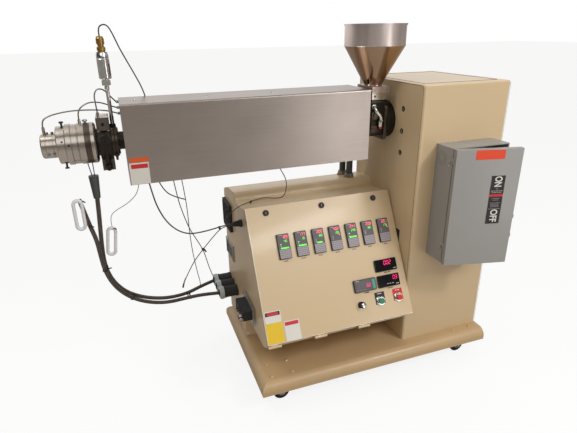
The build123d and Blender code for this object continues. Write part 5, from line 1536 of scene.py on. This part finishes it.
class ExtruderCabinetFittings(bpy.types.Operator):
    """Adds the drive cabinet's seams, vents and hole ends, and the fittings of the base"""
    bl_idname = "extruder.cabinet_fittings"
    bl_label = "Cabinet and base fittings"

    def execute(self, context):
        self.drive()
        with Piece("pedestal_plug", "white_card") as bm:
            turned(bm, front_spot(-173, 81.25, 143), [(0, -0.5), (6.2, -0.5), (6.2, 0.6), (5, 1.4),
                                                      (0, 1.6)], 28)
        with Piece("base_bolts", "base_enamel", "beige_paint") as bm:
            for x, y in ((x, y) for x in CASTORS_X for y in CASTORS_Y):
                for side_x, side_y in CORNERS:
                    spot_x, spot_y = x + side_x * BRACKET_BOLT_X, y + side_y * BRACKET_BOLT_Y
                    under_drive = DRIVE_LEFT < spot_x < 821.5 and -184.75 < spot_y < DRIVE_BACK
                    under_pedestal = spot_y > 81.25 and spot_x > -190
                    if not under_drive and not under_pedestal:
                        turned(bm, place((spot_x, spot_y, 130)),
                               [(0, -0.2), (8.4, -0.2), (8.0, 2.2), (5.6, 4.4), (0, 5.4)], 24)
        conduits = [(place((350.5, y, 0)), low) for y, low in ((190.25, 765), (257.25, 762))]
        with Piece("conduit_nuts", "zinc", "zinc_plate") as bm:
            for where, low in conduits:
                prism(bm, where, ring_points(23, 6), low, low + 14)
                hoop(bm, where, [(14.6, low + 14), (19, low + 14), (18, low + 19),
                                 (14.6, low + 20)], 32)
        with Piece("conduit_seals", "seal_red") as bm:
            for where, low in conduits:
                disc(bm, where, 25, low - 2.2, low + 0.2, 40)
        # A dark strip painted as the shade in the valley along the control cabinet
        plates("valley_shade_strip", "seam_dark", "beige_paint", "machine",
               (front_spot(128.5, 186, 733.6), 612, 1.2, -0.4, 0.4))
        return {"FINISHED"}

    def drive(self):
        with Piece("drive_seams", "seam_dark", "beige_paint") as bm:
            for x, thick in ((437.4, 0.8), (821.0, 0.5)):
                wire(bm, [(x, y, z) for y, z in (
                    (288, 1189.5), (-168, 1189.5), (-175.5, 1187.5), (-180, 1183),
                    (-181.5, 1176), (-181.5, 132))], thick)
            wire(bm, [(x + DRIVE_MIDDLE, y + 60, 1193.2) for x, y in rounded_box(330, 410, 14)],
                 1.0, closed=True)
            for width, height, x, y in ((1.4, 960, -168, 0), (1.4, 960, 168, 0),
                                        (336, 1.4, 0, -480), (336, 1.4, 0, 480)):
                bar(bm, back_spot(640), width, height, -0.2, 0.35, 0.4, (x, y))
        with Piece("drive_vent", "black_plastic", "black_plastic") as bm:
            slots = [(-75.7, 26, 5, 540 + 9.0 * k, 1.8, 4.2) for k in range(8)]
            for y, width, height, z, low, high in ((-72.7, 32, 77, 535, -0.3, 2.0), *slots):
                prism(bm, left_spot(DRIVE_LEFT, y, z),
                      [(0, 0), (width, 0), (width, height), (0, height)], low, high)
            for row in range(9):
                bar(bm, back_spot(900 - row * 16), 180, 5, -0.2, 2.2, 2.0)
        with Piece("drive_hole_ends", "black_plastic", "black_plastic") as bm:
            for number in range(3):
                where = left_spot(DRIVE_LEFT, -64.75, 1095 - 84 * number)
                disc(bm, where, 6.9, -13.5, -4)
                hoop(bm, where, [(6.4, -0.4), (10.4, -0.4), (10.4, 0.7), (6.4, 0.9)], 28)


# Height on the strip and widths of the strokes that stand for its small print
STRIP_PRINT = (
    (42, (3, 3)), (33.5, (9, 6, 8, 5, 7)), (27.5, (6, 10, 7, 9)), (5, (8, 4, 9, 6)),
    (-1, (5, 9, 6)), (-12, (7, 5, 9, 8, 5)), (-17, (9, 6, 4, 9)), (-22, (6, 8, 7, 8)),
    (-27, (9, 9, 5, 6)), (-35, (22, 22)))


class ExtruderSwitchBox(bpy.types.Operator):
    """Adds the plates and lettering of the switch box, its knockouts and its catches"""
    bl_idname = "extruder.switch_box"
    bl_label = "Switch box fittings"

    def execute(self, context):
        cover, strip = "switch_box_cover", cover_spot(STRIP_ACROSS, STRIP_UP)
        for name, finish, slot, *bars in (
                ("switch_orange_plate", "orange_red_card", None,
                 (cover_spot(125, 428.5), 108, 34, 0, 0.4, 1.0)),
                ("switch_black_strip", "black_plastic", "black_plastic",
                 (strip, 54, 186, 0, 0.5, 1.0)),
                ("switch_red_line", "red_card", None,
                 (cover_spot(STRIP_ACROSS, 276, 0.5), 53, 9, 0, 0.25))):
            plates(name, finish, slot, cover, *bars)
        with Piece("switch_print", "grey_ink", body=cover) as bm:
            for level, widths in STRIP_PRINT:
                dashes(bm, cover_spot(STRIP_ACROSS, STRIP_UP, 0.5), widths,
                       1.8 if level < 20 else 3.2, (0, level))
        plates("switch_strip_frame", "zinc", "zinc_plate", cover,
               *[(strip, 0.8, 187, 0, 0.7, 0.2, (x, 0)) for x in (-27.2, 27.2)],
               *[(strip, 55, 0.8, 0, 0.7, 0.2, (0, y)) for y in (-93.2, 93.2)])
        self.word("ON", 328, 0.68)
        self.word("OFF", 197, 0.76)
        self.box()
        return {"FINISHED"}

    def word(self, text, up, squeeze):
        """A piece of heavy lettering that reads down the strip."""
        height, thickness = 26, 0.4
        curve = bpy.data.curves.new(f"switch_word_{text.lower()}", "FONT")
        curve.body = text
        curve.size = height / 0.7
        curve.offset = height * 0.035
        curve.align_x = curve.align_y = "CENTER"
        curve.extrude = thickness / 2
        letters = show(curve.name, curve, "white_card", "switch_box_cover")
        letters.matrix_world = (
            cover_spot(STRIP_ACROSS, up, 0.5 + thickness / 2)
            @ Matrix.Rotation(math.radians(-90), 4, "Z") @ Matrix.Diagonal((squeeze, 1, 1, 1)))

    def box(self):
        with Piece("box_knockouts", "box_enamel", "grey_paint") as bm:
            for radius in (17, 11):
                wire_ring(bm, down_spot(700, -224, 533), radius, 0.7)
            wire_ring(bm, place((640, -224, 981)), 20, 0.8, stretch=(1.7, 0.7))
            for k in range(8):
                stud(bm, place((548 + 24 * k, -201, 981)), 3.0, 1.2)
            for x, z in ((530, 545), (749, 545), (530, 969), (749, 969)):
                stud(bm, place((x, -190, z), (0, 0, 1), (-1 if x < 600 else 1, 0, 0)), 2.6, 1.0)
        with Piece("box_side_knockout", "grey_panel", "grey_paint") as bm:
            for radius in (25, 15):
                wire_ring(bm, left_spot(BOX_LEFT, -220, 935), radius, 0.6)
        with Piece("box_hinge_pins", "chrome", "zinc_plate") as bm:
            for middle in (592, 924):
                for rise in (-11, 11):
                    stud(bm, left_spot(BOX_LEFT, -266, middle + rise), 2.2, 1.6)
                    stud(bm, left_spot(BOX_LEFT, -257, middle + rise), 1.6, 1.2)
        with Piece("box_catches", "zinc", "zinc_plate") as bm:
            for z in (690, 840):
                side = right_spot(763.5, -262, z)
                bar(bm, side, 16, 30, -0.2, 2.0, 2)
                post(bm, side, [(4, 0), (4, 4.5), (3, 5.5)], 20)


class ExtruderCastors(bpy.types.Operator):
    """Adds the hubs and axle bolts of the castors, and the nuts of the levelling feet"""
    bl_idname = "extruder.castors"
    bl_label = "Castors and feet"

    def execute(self, context):
        for row, y, side in zip(("front", "back"), CASTORS_Y, (-1, 1)):
            for column, x in zip(("left", "right"), CASTORS_X):
                wheel_y = y + side * 15
                body = f"castor_wheel_{row}_{column}"
                with Piece(f"{body}_hub", "grey_plastic", "grey_paint", body) as bm:
                    for face in (-1, 1):
                        self.hub(bm, side_spot(x, wheel_y, 34, face))
                with Piece(f"castor_{row}_{column}_fittings", "zinc", "zinc_plate") as bm:
                    self.fittings(bm, x, y, wheel_y, side)
        return {"FINISHED"}

    def hub(self, bm, where):
        hoop(bm, where, [(6.6, 6), (22, 6), (22, 8), (19.5, 8.6), (18.5, 7.6), (11, 7.6),
                         (10, 9.4), (6.6, 9.8)], 36)
        for x, y in ring_points(15, 6):
            stud(bm, moved(where, x, y, 7), 1.5, 1.6, 12)

    def fittings(self, bm, x, y, wheel_y, side):
        for face in (-1, 1):
            post(bm, side_spot(x, wheel_y + face * 19, 34, face),
                 [(8.0, 0), (8.0, 4.6), (7.0, 5.4)], 6)
        foot = place((x, wheel_y - side * 33, 0))
        post(bm, foot, [(13, 12), (13, 17.5), (12, 18.5)], 6)
        post(bm, foot, [(13, 62), (13, 71), (12, 72)], 6)
        for side_x, side_y in CORNERS:
            under = down_spot(x + side_x * BRACKET_BOLT_X, y + side_y * BRACKET_BOLT_Y, 75)
            post(bm, under, [(7.5, 0), (7.5, 5), (6.6, 5.8)], 6)


# In the order in which they run
OPERATORS = [ExtruderStudioScene, ExtruderFinishes, ExtruderLinks, ExtruderTies,
             ExtruderHeaterCables, ExtruderLeads, ExtruderHead, ExtruderTransducer,
             ExtruderCover, ExtruderFeed, ExtruderControllers, ExtruderMeters,
             ExtruderDoorFittings, ExtruderLeftEnd, ExtruderCabinetFittings, ExtruderSwitchBox,
             ExtruderCastors]


class ExtruderPanel(bpy.types.Panel):
    """Lists the steps that dress the machine, and the values they use"""
    bl_idname = "VIEW3D_PT_extruder"
    bl_label = "Extruder"
    bl_space_type = "VIEW_3D"
    bl_region_type = "UI"
    bl_category = "Extruder"

    def draw(self, context):
        for step in OPERATORS:
            self.layout.operator(step.bl_idname)
        scene = context.scene
        for holder in (scene.extruder_colours, scene.extruder_sizes, scene.extruder_studio):
            box = self.layout.box()
            for name in holder.bl_rna.properties.keys():
                if name not in ("rna_type", "name"):
                    box.prop(holder, name)


CLASSES = [ExtruderColours, ExtruderSizes, ExtruderStudio, *OPERATORS, ExtruderPanel]


def register():
    for each in CLASSES:
        bpy.utils.register_class(each)
    bpy.types.Scene.extruder_colours = PointerProperty(type=ExtruderColours)
    bpy.types.Scene.extruder_sizes = PointerProperty(type=ExtruderSizes)
    bpy.types.Scene.extruder_studio = PointerProperty(type=ExtruderStudio)


def unregister():
    del bpy.types.Scene.extruder_studio
    del bpy.types.Scene.extruder_sizes
    del bpy.types.Scene.extruder_colours
    for each in reversed(CLASSES):
        bpy.utils.unregister_class(each)


def main():
    register()
    bpy.ops.extruder.studio()
    bpy.ops.extruder.finishes()
    # The cords look up the links and the ties, so these come first
    bpy.ops.extruder.links()
    bpy.ops.extruder.ties()
    bpy.ops.extruder.heater_cables()
    bpy.ops.extruder.leads()
    bpy.ops.extruder.head()
    bpy.ops.extruder.transducer()
    bpy.ops.extruder.cover()
    bpy.ops.extruder.feed()
    bpy.ops.extruder.controllers()
    bpy.ops.extruder.meters()
    bpy.ops.extruder.door_fittings()
    bpy.ops.extruder.left_end()
    bpy.ops.extruder.cabinet_fittings()
    bpy.ops.extruder.switch_box()
    bpy.ops.extruder.castors()
    bpy.context.view_layer.update()


if __name__ == "__main__":
    main()
